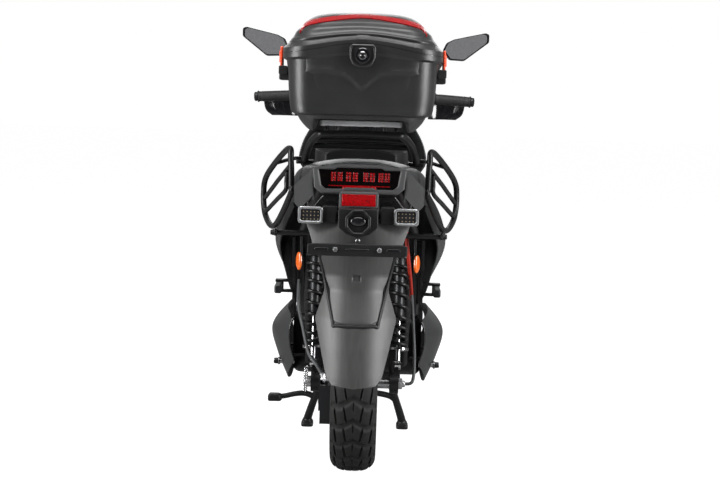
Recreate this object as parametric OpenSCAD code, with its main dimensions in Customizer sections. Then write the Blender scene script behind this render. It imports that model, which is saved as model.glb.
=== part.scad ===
/* [Wheels] */
// Distance between the two axles
wheelbase = 1360; // [1150:5:1620]
// Outer radius of both tyres
tyre_r = 236.5; // [225:0.5:246]
// Width of the rear tyre
rear_tyre_w = 122; // [104:1:130]
// Width of the front tyre
front_tyre_w = 112; // [98:1:122]
// Radius of the rims under the tyre beads
rim_r = 150; // [140:1:156]
// Radius of both wheel axles
axle_r = 8; // [6.5:0.1:9.6]
// Radius of the two brake discs
disc_r = 95; // [85:1:104]

/* [Suspension] */
// Rake of the steering axis, in degrees
rake = 26; // [24:0.5:28]
// Radius of the fork stanchions
stanchion_r = 15; // [12:0.5:17]
// Radius of the steering stem
stem_r = 16; // [13:0.5:19]
// Radius of the swingarm pivot rod
pivot_r = 8; // [6.5:0.5:10]
// Middle radius of the shock absorber coils
coil_r = 22; // [20:0.5:23.5]
// Radius of the coil wire
wire_r = 4.5; // [3.5:0.5:5]
// Radius of the studs that carry the shock absorbers
shock_stud_r = 6; // [5:0.5:7]

/* [Frame] */
// Radius of the seat rails
rail_r = 13; // [11:0.5:15]
// Radius of the floor rails
floor_rail_r = 16; // [13:0.5:18]
// Wall thickness of the body panels
panel_wall = 3; // [2.5:0.5:4]
// Radius of the centre stand's pivot pin
stand_pin_r = 6; // [5:0.5:8]
// Radius of the pedal spindle
spindle_r = 8; // [6.5:0.5:9]

/* [Handlebar] */
// Radius of the handlebar tube
bar_r = 11; // [9:0.5:12.5]
// Radius of the rubber grips
grip_r = 17; // [15:0.5:19]
// Length of each grip
grip_len = 120; // [105:1:126]
// Radius of the brake lever pivot pins
lever_pin_r = 3; // [2.5:0.1:3.6]

/* [Luggage] */
// Half the width of the top case flange
case_half_w = 202; // [180:1:205]
// Height of the top case lid
lid_h = 94; // [84:1:112]
// Wall thickness of the top case
case_wall = 3.5; // [2.5:0.5:5]
// Radius of the rack tubes
rack_r = 10; // [8:0.5:10]
// Radius of the side guard loops
guard_r = 8; // [6.5:0.5:9]

/* [Fits] */
// Radial gap of a shaft that turns in a bore
running_gap = 0.08; // [0.04:0.01:0.1]
// Gap between parts that are bolted together but not fused
seat_gap = 0.3; // [0.2:0.05:0.4]
// Radial gap at the lower shock absorber eyes
open_eye_gap = 0.9; // [0.7:0.1:2]
// Spacing of the two plate bolts
plate_bolt_pitch = 109; // [90:1:140]

/* [Hidden] */
$fn = 48;

rear_overhang = 373.5;
overall = rear_overhang + wheelbase + tyre_r;
rear_y = rear_overhang - overall / 2;
front_y = rear_y + wheelbase;
axle_z = tyre_r;

// Places are given as distances forward of the rear axle. The tail and the nose stay rigid, and what lies
// between them stretches with the wheelbase.
tail_end = 300;
nose_start = 900;
stretch = (wheelbase - 1360 + nose_start - tail_end) / (nose_start - tail_end);
function at_y(d) = rear_y + (d < tail_end ? d
    : d < nose_start ? tail_end + (d - tail_end) * stretch
    : d + wheelbase - 1360);
function at(p) = [p.x, at_y(p.y), p.z];

// Joint centres, as [forward of the rear axle, height]
swing_pivot = [440, 300];
shock_top = [100, 600];
shock_foot = [20, axle_z + 48.5];
stand_pivot = [470, 172];
spindle_at = [620, 185];
spindle_end = 256;
seat_hinge = [684, 694];
lid_hinge = [38, 1120];
latch_pivot_z = 1068;
lock_z = 1104;
peg_pivot = [222, 250, 465];
peg_half_h = 11;
peg_lug = 18;

// The fork works in its own axes: z runs up the legs from the front axle, y is square to them and forward
axis_offset = -22.8;
leg_x = 95;
slider_r = stanchion_r + 6;
fork_travel = 70;
yoke_low = 490;
head_low = 530;
head_high = 700;

shock_x = 115;
shock_vec = [at_y(shock_foot.x) - at_y(shock_top.x), shock_foot.y - shock_top.y];
shock_len = norm(shock_vec);
shock_tilt = atan2(shock_vec.x, -shock_vec.y);
shock_stroke = 60;
eye_r = 14;
stud_end = 128;
spring_top = 38;
spring_foot = 45;
seat_r = coil_r + wire_r + 1.5;

disc_wall = 4;
disc_x = -68;
arm_in = 94;
arm_out = 118;
part_z = 1120;

// Shapes
function unit(v) = v / norm(v);
function lerp(a, b, t) = a + (b - a) * t;
function curve(a, b, c, d, t) = 0.5 * (2 * b + (c - a) * t + (2 * a - 5 * b + 4 * c - d) * t * t
    + (3 * b - a - 3 * c + d) * t * t * t);
function spline(p, n) = [
    for (i = [0:len(p) - 2]) for (k = [0:n - 1])
        curve(p[max(i - 1, 0)], p[i], p[i + 1], p[min(i + 2, len(p) - 1)], k / n),
    p[len(p) - 1]];
function turned(net) = [for (j = [0:len(net[0]) - 1]) [for (row = net) row[j]]];
function fine(net, n, m) = turned([for (col = turned([for (row = net) spline(row, m)])) spline(col, n)]);
function flat_list(rows) = [for (row = rows) for (p = row) p];
function mirrored(row) = [for (i = [len(row) - 1:-1:0]) if (row[i].x > 0.001) [-row[i].x, row[i].y, row[i].z]];

// A curved panel of even thickness. The net's points lie on the outer skin, and a negative wall says that
// rows crossed with columns point inwards.
module panel(net, wall = panel_wall, n = 2, m = 2) {
    g = fine(net, n, m);
    rows = len(g);
    cols = len(g[0]);
    skin = [for (i = [0:rows - 1]) for (j = [0:cols - 1])
        g[i][j] - wall * unit(cross(g[min(i + 1, rows - 1)][j] - g[max(i - 1, 0)][j],
            g[i][min(j + 1, cols - 1)] - g[i][max(j - 1, 0)]))];
    function id(i, j, inner) = (inner ? rows * cols : 0) + i * cols + j;
    function quad(a, b, c, d) = wall > 0 ? [[a, b, c], [a, c, d]] : [[a, c, b], [a, d, c]];
    faces = [
        for (i = [0:rows - 2]) for (j = [0:cols - 2]) each concat(
            quad(id(i, j, false), id(i, j + 1, false), id(i + 1, j + 1, false), id(i + 1, j, false)),
            quad(id(i, j, true), id(i + 1, j, true), id(i + 1, j + 1, true), id(i, j + 1, true))),
        for (i = [0:rows - 2]) each concat(
            quad(id(i, 0, false), id(i + 1, 0, false), id(i + 1, 0, true), id(i, 0, true)),
            quad(id(i + 1, cols - 1, false), id(i, cols - 1, false), id(i, cols - 1, true),
                id(i + 1, cols - 1, true))),
        for (j = [0:cols - 2]) each concat(
            quad(id(0, j + 1, false), id(0, j, false), id(0, j, true), id(0, j + 1, true)),
            quad(id(rows - 1, j, false), id(rows - 1, j + 1, false), id(rows - 1, j + 1, true),
                id(rows - 1, j, true)))];
    polyhedron(points = concat(flat_list(g), skin), faces = faces);
}

// A solid through rings of equal count, each anticlockwise as seen from the last ring's side
module loft(rings) {
    count = len(rings);
    n = len(rings[0]);
    sides = [for (i = [0:count - 2]) for (j = [0:n - 1]) each [
        [i * n + j, (i + 1) * n + j, (i + 1) * n + (j + 1) % n],
        [i * n + j, (i + 1) * n + (j + 1) % n, i * n + (j + 1) % n]]];
    first = [for (j = [1:n - 2]) [0, j, j + 1]];
    last = [for (j = [1:n - 2]) [(count - 1) * n, (count - 1) * n + j + 1, (count - 1) * n + j]];
    polyhedron(points = flat_list(rings), faces = concat(sides, first, last));
}

// A rounded rectangle in plan, and the same standing across the frame
function plan_ring(w, y0, y1, r, z, k = 3) = [
    for (c = [[w - r, y1 - r, 0], [r - w, y1 - r, 90], [r - w, y0 + r, 180], [w - r, y0 + r, 270]])
        for (i = [0:k]) let (a = c.z + 90 * i / k) [c.x + r * cos(a), at_y(0) + c.y + r * sin(a), z]];
function cross_ring(w, z0, z1, r, d, k = 3) = [
    for (c = [[w - r, z1 - r, 0], [r - w, z1 - r, 90], [r - w, z0 + r, 180], [w - r, z0 + r, 270]])
        for (i = [0:k]) let (a = c.z + 90 * i / k) [-c.x - r * cos(a), at_y(d), c.y + r * sin(a)]];

// A round bar swept along points, with flat sides
module sweep(path, r, sides = 8, up = [0, 0, 1]) {
    last = len(path) - 1;
    loft([for (i = [0:last])
        let (t = unit(path[min(i + 1, last)] - path[max(i - 1, 0)]), u = unit(cross(t, up)), v = cross(t, u))
            [for (j = [0:sides - 1]) path[i] + r * (cos(360 * j / sides) * u + sin(360 * j / sides) * v)]]);
}

// The same bar closed on itself: the last point repeats the first
module hoop(path, r, up, sides = 8) {
    count = len(path) - 1;
    rings = [for (i = [0:count - 1])
        let (t = unit(path[i + 1] - path[(i + count - 1) % count]), u = unit(cross(t, up)), v = cross(t, u))
            [for (j = [0:sides - 1]) path[i] + r * (cos(360 * j / sides) * u + sin(360 * j / sides) * v)]];
    polyhedron(points = flat_list(rings), faces = [
        for (i = [0:count - 1]) for (j = [0:sides - 1])
            let (a = i * sides, b = (i + 1) % count * sides, k = (j + 1) % sides)
                each [[a + j, b + j, b + k], [a + j, b + k, a + k]]]);
}

module rod(a, b, r) {
    d = b - a;
    translate(a)
        rotate([0, acos(d.z / norm(d)), atan2(d.y, d.x)])
            cylinder(r = r, h = norm(d));
}

// Straight bars joined by slightly fatter balls, as bent tube
module bent(points, r, closed = false) {
    n = len(points);
    for (i = [0:n - (closed ? 1 : 2)]) rod(points[i], points[(i + 1) % n], r);
    for (i = [closed ? 0 : 1:n - (closed ? 1 : 2)]) translate(points[i]) sphere(r = r * 1.03);
}

module across(x0, x1, d, z, r) {
    translate([x0, at_y(d), z]) rotate([0, 90, 0]) cylinder(r = r, h = x1 - x0);
}

module block(x0, x1, d0, d1, z0, z1) {
    translate([x0, at_y(d0), z0]) cube([x1 - x0, at_y(d1) - at_y(d0), z1 - z0]);
}

module both() {
    children();
    mirror([1, 0, 0]) children();
}

module fork_axes() {
    translate([0, front_y, axle_z]) rotate([rake, 0, 0]) children();
}

module shock_axes(side) {
    translate([side * shock_x, at_y(shock_top.x), shock_top.y]) rotate([180 + shock_tilt, 0, 0]) children();
}

// Frame
tail_tube_r = rail_r - 1;
module main_frame() color("#26282a") {
    difference() {
        union() {
            fork_axes() translate([0, axis_offset, head_low]) cylinder(r = stem_r + 8, h = head_high - head_low);
            bent([at([0, 1062, 760]), at([0, 975, 420]), at([0, 930, 245])], 22);
            both() {
                bent([at([0, 930, 245]), at([140, 905, 215]), at([140, 480, 215]), at([150, 400, 560]),
                    at([150, 100, 640]), at([97.7, -213.6, 775.9])], rail_r);
                for (d = [650, 880]) translate(at([140, d, 225])) cylinder(r = 8, h = 338 - seat_gap - 225);
                block(124, 132, 425, 500, 225, 318);
                block(124, 132, 455, 485, 158, 230);
                block(134, 140, 86, 114, shock_top.y - 14, 640);
                across(stud_end - 22, 136, shock_top.x, shock_top.y, shock_stud_r);
                translate(at([133, 0, 684])) cylinder(r = 9, h = 36);
            }
            for (d = [620, 860]) across(-140, 140, d, 215, 14);
            both() across(145, 211.5, 560, 215, 4);
            both() across(145, 241.3, 760, 215, 4);
            across(-150, 150, 170, 621.3, 10);
            across(-100, 100, -200, 770, tail_tube_r);
            across(-140, 140, 405, 545, 12);
            across(-68, 68, spindle_at.x, spindle_at.y, 19);
            bent([at([0, 405, 545]), at([0, 520, 640]), at([0, seat_hinge.x - 12, seat_hinge.y - 22])], 11);
            across(-40, 40, seat_hinge.x - 12, seat_hinge.y - 22, 8);
            both() block(34, 40, seat_hinge.x - 20, seat_hinge.x + 8, seat_hinge.y - 28, seat_hinge.y + 6);
            across(-38, 38, seat_hinge.x, seat_hinge.y, 5);
            across(-133, 133, swing_pivot.x, swing_pivot.y, pivot_r);
            across(-133, 133, stand_pivot.x, stand_pivot.y, stand_pin_r);
            rod(at([0, 1060, 812]), at([0, 1190 - seat_gap, 812]), 8);
            block(-8, 8, -238, -205, 776, 788);
        }
        fork_axes() translate([0, axis_offset, head_low - 1]) cylinder(r = stem_r + running_gap, h = 200);
        across(-69, 69, spindle_at.x, spindle_at.y, spindle_r + running_gap);
    }
}

module battery_pack() color("#3c4146") {
    block(-112, 112, 560, 890, 229 + seat_gap, 318);
    block(-40, 40, 700, 760, 318, 332);
}

module motor_controller() color("#8d9296") {
    block(-55, 55, 110, 230, 631.3 + seat_gap, 668);
    for (x = [-48:12:48]) block(x - 2, x + 2, 114, 226, 668, 676);
}

module floor_board() color("#1d1e20") {
    difference() {
        block(-195, 195, 600, 952, 338, 348);
        block(-27, 27, 926, 960, 330, 350);
        for (d = [640:30:880]) block(-150, 150, d, d + 6, 345, 349);
    }
}

function shield_row(z, w, d, sweep_d) = [for (s = [-1, -0.72, -0.36, 0, 0.36, 0.72, 1])
    at([w * s, d + sweep_d * s * s, z])];
shield_net = [
    shield_row(348.4, 190, 905, 38),
    shield_row(430, 240, 900, 66),
    shield_row(526, 280, 903, 92),
    shield_row(620, 262, 915, 100),
    shield_row(720, 205, 932, 84),
    shield_row(800, 150, 950, 52),
    shield_row(846, 112, 962, 30)];
module leg_shield() color("#1b1c1e") panel(shield_net, panel_wall);

function nose_row(z, w, back, nose) = let (half = [
    [0, nose, z], [0.42 * w, nose - 0.07 * (nose - back), z], [0.78 * w, nose - 0.3 * (nose - back), z],
    [0.97 * w, nose - 0.62 * (nose - back), z], [w, back, z]])
    [for (p = concat(mirrored(half), half)) at(p)];
nose_net = [
    nose_row(735, 172, 1036, 1246),
    nose_row(790, 208, 975, 1262),
    nose_row(850, 200, 985, 1240),
    nose_row(905, 172, 1000, 1208),
    nose_row(940, 146, 1020, 1184)];
module front_fairing() color("#3f4144") {
    difference() {
        panel(nose_net, panel_wall);
        block(-84 - seat_gap, 84 + seat_gap, 1180, 1300, 776 - seat_gap, 856 + seat_gap);
    }
}

module headlight() color("#d9dcdf") {
    loft([for (r = [[1190, 84, 776, 856], [1236, 84, 776, 856], [1256, 78, 782, 850], [1266, 60, 796, 838]])
        cross_ring(r[1], r[2], r[3], 14, r[0])]);
}

function screen_row(z, w, d) = [for (s = [-1, -0.5, 0, 0.5, 1]) at([w * s, d - 22 * s * s, z])];
module windscreen() color("#5a6066") {
    panel([screen_row(906, 118, 1222), screen_row(990, 128, 1190), screen_row(1085, 130, 1155),
        screen_row(1180, 118, 1120), screen_row(1256, 78, 1092)], 4);
    both() translate(at([58, 1191, 925])) rotate([-90, 0, 0]) cylinder(r = 8, h = 20);
}

// Body
cover_cols = [
    [[180, 64, 700], [182, 64, 735], [176, 64, 770], [160, 64, 792]],
    [[222, 200, 592], [216, 200, 650], [190, 200, 715], [158, 200, 780]],
    [[214, 350, 500], [208, 350, 575], [186, 350, 640], [152, 350, 690]],
    [[194, 500, 405], [190, 500, 510], [168, 500, 610], [138, 500, 688]],
    [[150, 620, 352.6], [146, 620, 470], [130, 620, 590], [104, 620, 686]],
    [[80, 668, 350.6], [78, 668, 460], [68, 668, 570], [54, 668, 650]],
    [[0.4, 680, 350.6], [0.4, 680, 450], [0.4, 682, 555], [0.4, 684, 640]]];
module side_covers() color("#46484b") {
    both() panel([for (c = cover_cols) [for (p = c) at(p)]], panel_wall, 2, 2);
}

belly_net = [
    [[196, 520, 334], [206, 520, 300], [204, 520, 250], [190, 520, 205]],
    [[214, 600, 350], [236, 600, 290], [238, 600, 225], [212, 600, 150]],
    [[218, 720, 350], [250, 720, 280], [246, 720, 205], [208, 720, 124]],
    [[216, 850, 346], [244, 850, 285], [236, 850, 220], [200, 850, 150]],
    [[206, 980, 330], [222, 980, 285], [216, 980, 240], [196, 980, 195]]];
module belly_panels() color("#56585b") {
    both() difference() {
        panel([for (row = belly_net) [for (p = row) at(p)]], -panel_wall);
        across(180, 260, spindle_at.x, spindle_at.y, spindle_r + 6);
    }
}

function tail_row(d, pts) = let (half = [for (p = pts) [p.x, d, p.y]])
    [for (p = concat(mirrored(half), half)) at(p)];
tail_net = [
    tail_row(-252, [[0, 838], [62, 836], [108, 826], [118, 792], [112, 744]]),
    tail_row(-180, [[0, 843], [72, 840], [130, 824], [142, 786], [136, 736]]),
    tail_row(-100, [[0, 844], [76, 840], [146, 820], [165, 780], [160, 728]]),
    tail_row(-20, [[0, 836], [86, 830], [158, 812], [178, 770], [176, 722]]),
    tail_row(54, [[0, 826], [92, 822], [164, 804], [184, 764], [184, 716]])];
module tail_fairing() color("#4a4c4f") {
    difference() {
        panel(tail_net, -panel_wall);
        both() translate(at([133, 0, 780])) cylinder(r = 9, h = 60);
    }
}

module tail_light() color("#5c0d0f") {
    loft([for (r = [[-258, 96, 781, 820], [-252, 101, 777, 823], [-238 - seat_gap, 101, 777, 823]])
        cross_ring(r[1], r[2], r[3], 8, r[0])]);
}

mud_rows = [[686, 119, -290, 26], [640, 104, -310, 24], [600, 93, -304, 30], [560, 85, -296, 34],
    [520, 78, -302, 38], [450, 100, -334, 54], [380, 84, -354, 42], [310, 67, -368, 28], [293, 52, -370, 16]];
mud_net = [for (r = mud_rows) [for (s = [-1, -0.66, -0.33, 0, 0.33, 0.66, 1])
    at([r[1] * s, r[2] + r[3] * s * s, r[0]])]];
module rear_mudguard() color("#48494c") {
    panel(mud_net, -panel_wall, 1, 2);
    block(-30, 30, -290, -212, 674, 684);
    block(-30, 30, -222, -190, 674, 770 - tail_tube_r - seat_gap);
}

module plate_bracket() color("#17181a") {
    difference() {
        block(-123, 123, -352, -342, 616, 644);
        both() translate(at([plate_bolt_pitch / 2, -360, 630])) rotate([-90, 0, 0]) cylinder(r = 3.3, h = 30);
        both() block(78, 106, -353, -341, 626, 634);
    }
    block(-20, 20, -342, -312.9, 622, 638);
}

module plate_lamp() color("#202123") {
    difference() {
        block(-50, 50, -345, -314, 664, 730);
        translate(at([0, -346, 696])) rotate([-90, 0, 0]) cylinder(r = 29, h = 12, $fn = 8);
    }
    translate(at([0, -340, 696])) rotate([-90, 0, 0]) cylinder(r = 22, h = 10);
    block(-24, 24, -315, -222 - seat_gap, 704, 722);
}

module reflectors() color("#b01217") {
    block(-42, 42, -312, -300, 735, 764);
    block(-48, 48, -300, -259, 722 + seat_gap, 768);
    both() {
        translate(at([156, 8, 562])) rotate([0, 90, -12]) cylinder(r = 15, h = 6);
        block(150, 156, 2, 14, 560, 637 - 7 - seat_gap);
    }
}

module rear_signals() color("#c9ccce") {
    both() {
        loft([for (r = [[-312, 28, 692, 728], [-306, 31, 689, 731], [-282, 31, 689, 731], [-268, 20, 697, 723]])
            [for (p = cross_ring(r[1], r[2], r[3], 9, r[0])) p + [119, 0, 0]]]);
        across(24 + seat_gap, 96, -276, 710, 9);
    }
}

rack_side = [[150, 24, 832], [146, -40, 842], [128, -150, 884], [106, -236, 907], [86, -251, 910],
    [30, -252, 910]];
rack_path = concat(rack_side, [for (i = [len(rack_side) - 1:-1:0]) [-rack_side[i].x, rack_side[i].y, rack_side[i].z]]);
module rear_rack() color("#1c1d1f") {
    sweep([for (p = spline(rack_path, 3)) at(p)], rack_r, 10);
    both() {
        block(124, 170, -14, 14, 823.2, 834);
        translate(at([133, 0, 720 + seat_gap])) cylinder(r = 6, h = 110);
        translate(at([60, -252, 905])) cylinder(r = 6, h = 25);
        translate(at([90, -130, 874])) cylinder(r = 6, h = 56);
    }
    across(-124, 124, -130, 877, 8);
}

module rack_plate() color("#a9adb0") {
    difference() {
        block(-103, 103, -264, -30, 930, 945);
        for (x = [-60:40:60]) block(x - 10, x + 10, -200, -80, 929, 946);
    }
}

function guard_point(s, z) = at([176 + 91 * s, -150 + 300 * s, z]);
guard_side = unit(cross(guard_point(1, 700) - guard_point(0, 700), [0, 0, 1]));
guard_loop = [for (p = [[0.13, 866], [0.86, 788], [1, 733], [0.9, 672], [0.55, 655], [0.03, 747], [0, 774],
    [0.03, 834]]) guard_point(p.x, p.y)];
module side_guards() color("#1a1b1d") {
    both() {
        hoop(spline(concat(guard_loop, [guard_loop[0]]), 3), guard_r, guard_side);
        sweep([guard_point(0.03, 826), guard_point(0.93, 722)], guard_r - 2, 8, guard_side);
        sweep(spline([guard_point(0.15, 806), guard_point(0.19, 757), guard_point(0.9, 684)], 2), guard_r - 2,
            8, guard_side);
        sweep([guard_point(0.5, 824), at([171, 0, 838])], 5, 8, [0, 1, 0]);
        block(160, 174, -8, 8, 834 + seat_gap, 842);
    }
}

module guard_crossbar() color("#1a1b1d") {
    across(-232, 232, 8, 637, 7);
    both() block(220, 226, 0, 20, 630, 655 - guard_r - 0.2);
}

module peg_brackets() color("#17181a") both() {
    difference() {
        block(176, 184, 150, 300, 385, 612);
        translate(at([170, 150, 470])) rotate([0, 90, 0]) cylinder(r = 60, h = 20);
    }
    across(163.2 + seat_gap, 177, 252, 599.5, 9);
    for (z = [peg_half_h + 0.4, -peg_lug])
        block(183, 234, 236, 264, peg_pivot.z + z, peg_pivot.z + z + peg_lug - peg_half_h - 0.4);
    translate(at(peg_pivot - [0, 0, peg_lug])) cylinder(r = 4, h = 2 * peg_lug);
}

// Top case
case_rings = [[926, 158, -335, 5, 44], [952, 174, -345, 15, 48], [985, 185, -352, 22, 52],
    [1098, case_half_w - 8.5, -358, 28, 58], [1104, case_half_w, -362, 32, 62],
    [part_z - seat_gap, case_half_w, -362, 32, 62]];
module case_base() color("#3a3c3f") {
    difference() {
        union() {
            loft(concat(
                [for (r = case_rings) plan_ring(r[1], r[2], r[3], r[4], r[0])],
                [for (i = [5:-1:1]) let (r = case_rings[i], w = case_wall)
                    plan_ring(r[1] - w, r[2] + w, r[3] - w, r[4] - w, i == 5 ? r[0] : max(r[0], 950))]));
            block(-32, 32, -374, -359, 1074, part_z - seat_gap);
            both() {
                block(30, 60, 27, 38, 1106, part_z - 7);
                across(30, 60, lid_hinge.x, lid_hinge.y, 6);
                for (d = [-206, -122]) block(190, 212, d, d + 6, 1056, 1078);
                translate(at([206, -206, latch_pivot_z])) rotate([-90, 0, 0]) cylinder(r = 3, h = 90);
                block(184, 212, -200, -122, 1042, 1058);
            }
            across(-45, 45, lid_hinge.x, lid_hinge.y, 3);
        }
        block(-108.5, 108.5, -400, 60, 900, 945);
        translate(at([0, -380, lock_z])) rotate([-90, 0, 0]) cylinder(r = 9.5 + running_gap, h = 30);
    }
}

lid_barrel_r = 5.8;
lid_rings = [[0, 0, 0, 0, 62], [12, 3, 3, 3, 60], [0.27 * lid_h, 20, 12, 12, 56], [0.58 * lid_h, 41, 34, 34, 54],
    [0.8 * lid_h, 66, 64, 60, 50], [0.93 * lid_h, 104, 100, 96, 40], [lid_h, 150, 140, 136, 24]];
module case_lid() color("#3d3f42") {
    difference() {
        union() {
            loft(concat(
                [for (i = [5:-1:0]) let (r = lid_rings[i], w = case_wall)
                    plan_ring(case_half_w - r[1] - w, -362 + r[2] + w, 32 - r[3] - w, r[4] - w,
                        part_z + max(r[0] - (i > 3 ? w : 0), 0))],
                [for (r = lid_rings)
                    plan_ring(case_half_w - r[1], -362 + r[2], 32 - r[3], r[4], part_z + r[0])]));
            block(-29, 29, 27, 36, part_z + 1, part_z + 12);
            across(-29, 29, lid_hinge.x, lid_hinge.y, lid_barrel_r);
        }
        across(-30, 30, lid_hinge.x, lid_hinge.y, 3 + running_gap);
    }
}

module lid_strip() color("#c11a1f") {
    difference() {
        loft([for (r = [[0.6, 44, 37.8], [0.77, 62.6, 60]])
            plan_ring(case_half_w - r[1] + 5, -367 + r[2], 32 - r[2], 50, part_z + r[0] * lid_h)]);
        loft([for (r = [[0.58, 41, 34], [0.8, 66, 64]])
            plan_ring(case_half_w - r[1] + 0.4, -362.4 + r[2], 40 - r[2], 50, part_z + r[0] * lid_h)]);
        block(-300, 300, -120, 200, part_z, part_z + 100);
    }
}

module case_lock() color("#d7d9db") {
    translate(at([0, -377, lock_z])) rotate([-90, 0, 0]) cylinder(r = 9.5, h = 23);
    translate(at([0, -354, lock_z])) rotate([-90, 0, 0]) cylinder(r = 6, h = 8);
}

module latch(side) color("#d9451f") {
    difference() {
        union() {
            scale([side, 1, 1]) block(203, 209, -199.5, -122.5, latch_pivot_z + 2, part_z + 8);
            translate(at([side * 206, -199.5, latch_pivot_z])) rotate([-90, 0, 0]) cylinder(r = 6, h = 77);
        }
        translate(at([side * 206, -210, latch_pivot_z])) rotate([-90, 0, 0]) cylinder(r = 3 + running_gap, h = 100);
    }
}
module latch_left() latch(-1);
module latch_right() latch(1);

// Seat
seat_rows = [[64, 100, 815, 864], [110, 122, 812, 876], [240, 130, 806, 875], [318, 134, 770, 852],
    [368, 138, 722, 802], [450, 138, 716, 782], [560, 116, 713, 780], [640, 84, 713, 784], [678, 52, 718, 774]];
module seat_cushion() color("#141415") {
    loft([for (r = seat_rows) cross_ring(r[1], r[2], r[3], 20, r[0], 4)]);
}

module seat_base() color("#232427") {
    difference() {
        union() {
            loft([for (r = seat_rows) cross_ring(r[1] - 6, r[2] - 14, r[2] - 0.5, 6, r[0], 2)]);
            block(-30, 30, seat_hinge.x - 12, seat_hinge.x, seat_hinge.y - 2, 708);
            across(-30, 30, seat_hinge.x, seat_hinge.y, 11);
        }
        across(-31, 31, seat_hinge.x, seat_hinge.y, 5 + running_gap);
    }
}

// Rear suspension and wheel
arm_vec = [at_y(0) - at_y(swing_pivot.x), axle_z - swing_pivot.y];
arm_len = norm(arm_vec);
arm_tilt = atan2(-arm_vec.y, -arm_vec.x);
module swingarm() color("#202123") {
    difference() {
        union() {
            both() {
                translate([arm_in, at_y(0), axle_z]) rotate([arm_tilt, 0, 0])
                    translate([0, 0, -22]) cube([arm_out - arm_in, arm_len, 44]);
                across(arm_in, arm_out, 0, axle_z, 27);
                across(arm_in, arm_out, swing_pivot.x, swing_pivot.y, 28);
                block(100, 106, shock_foot.x - 15, shock_foot.x + 15, axle_z, shock_foot.y);
                across(100, 106, shock_foot.x, shock_foot.y, 15);
                across(104, stud_end + 2, shock_foot.x, shock_foot.y, shock_stud_r);
            }
            across(-arm_in - 2, arm_in + 2, swing_pivot.x, swing_pivot.y, 21);
            across(-arm_in - 2, arm_in + 2, 325, lerp(axle_z, swing_pivot.y, 325 / swing_pivot.x), 18);
        }
        across(-130, 130, swing_pivot.x, swing_pivot.y, pivot_r + running_gap);
        across(-130, 130, 0, axle_z, axle_r + 0.05);
    }
}

module rear_axle() color("#b9bcbe") {
    across(-134, 134, 0, axle_z, axle_r);
    difference() {
        union() {
            across(-90 + 0.2, -69, 0, axle_z, 14);
            across(54, arm_in - 0.2, 0, axle_z, 14);
        }
        across(-95, -60, 0, axle_z, axle_r - 1);
    }
    both() translate([arm_out + 0.2, at_y(0), axle_z]) rotate([0, 90, 0]) cylinder(r = 15, h = 10, $fn = 6);
}

module rear_caliper() color("#131416") {
    difference() {
        union() {
            block(-89.8, -56, -104, -46, axle_z - 94, axle_z + 8);
            block(-93.8, -89.8, -100, 22, axle_z - 60, axle_z + 20);
        }
        across(-70.5, -61.5, 0, axle_z, disc_r + 3);
        across(-95, -50, 0, axle_z, axle_r + 0.3);
    }
}

hose_points = [[-160, 90, 500], [-158, 40, 440], [-142, 0, 380], [-124, -40, 320], [-100, -66, 290],
    [-84, -76, 265], [-84, -76, axle_z + 8.8]];
motor_cable_points = [[150, 120, 470], [156, 60, 380], [160, 20, 300], [156, 0, axle_z + 8], [134.8, 0, axle_z]];
module cables() color("#3b3d40") {
    sweep([for (p = spline(hose_points, 3)) at(p)], 5, 8, [1, 0, 0]);
    sweep([for (p = spline(motor_cable_points, 3)) at(p)], 6, 8, [0, 1, 0]);
}

function tyre_half(r, hw) = [[rim_r + 0.3, hw - 27], [rim_r + 0.3, hw - 18.3], [rim_r + 13, hw - 18.3],
    [rim_r + 19, hw - 8], [(rim_r + r) / 2 - 2, hw], [r - 25, hw - 3], [r - 10, hw - 13], [r - 2.5, hw - 33],
    [r, hw - 56]];
function tyre_bore(r, hw) = [[r - 14, hw - 40], [r - 20, hw - 20], [(rim_r + r) / 2, hw - 9],
    [rim_r + 20, hw - 17], [rim_r + 9, hw - 27]];
module tyre(r, w) {
    outer = tyre_half(r, w / 2);
    bore = tyre_bore(r, w / 2);
    rotate([0, 90, 0]) rotate_extrude($fn = 96) polygon(concat(
        outer,
        [for (i = [len(outer) - 1:-1:0]) [outer[i].x, -outer[i].y]],
        [for (i = [len(bore) - 1:-1:0]) [bore[i].x, -bore[i].y]],
        bore));
}
module rear_tyre() color("#18191a") translate([0, at_y(0), axle_z]) tyre(tyre_r, rear_tyre_w);
module front_tyre() color("#18191a") translate([0, front_y, axle_z]) tyre(tyre_r, front_tyre_w);

function rim_band(bead) = [[rim_r - 10, bead - 14], [rim_r - 6, bead], [rim_r + 10, bead + 4.3],
    [rim_r + 10, bead], [rim_r, bead], [rim_r, -bead], [rim_r + 10, -bead], [rim_r + 10, -bead - 4.3],
    [rim_r - 6, -bead], [rim_r - 10, 14 - bead]];
module rear_hub() color("#2a2c2e") {
    hw = rear_tyre_w / 2 - 18;
    bore = axle_r + running_gap;
    translate([0, at_y(0), axle_z]) rotate([0, 90, 0]) rotate_extrude($fn = 96) polygon(concat(
        [[bore, -63.8], [bore, 52], [60, 52], [70, 46], [rim_r - 24, 44], [rim_r - 20, 18], [rim_r - 12, 18]],
        rim_band(hw),
        [[rim_r - 12, -18], [rim_r - 20, -18], [rim_r - 24, -44], [70, -46], [42, -52], [42, -63.8]]));
}

module brake_disc(bore) {
    difference() {
        rotate([0, 90, 0]) cylinder(r = disc_r, h = disc_wall, $fn = 96);
        translate([-1, 0, 0]) rotate([0, 90, 0]) cylinder(r = bore, h = disc_wall + 2);
        for (a = [0:30:330]) rotate([a, 0, 0]) translate([-1, 0, disc_r - 16])
            rotate([0, 90, 0]) cylinder(r = 5, h = disc_wall + 2);
    }
}
module rear_disc() color("#9a9da0") translate([disc_x, at_y(0), axle_z]) brake_disc(24);

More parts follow.
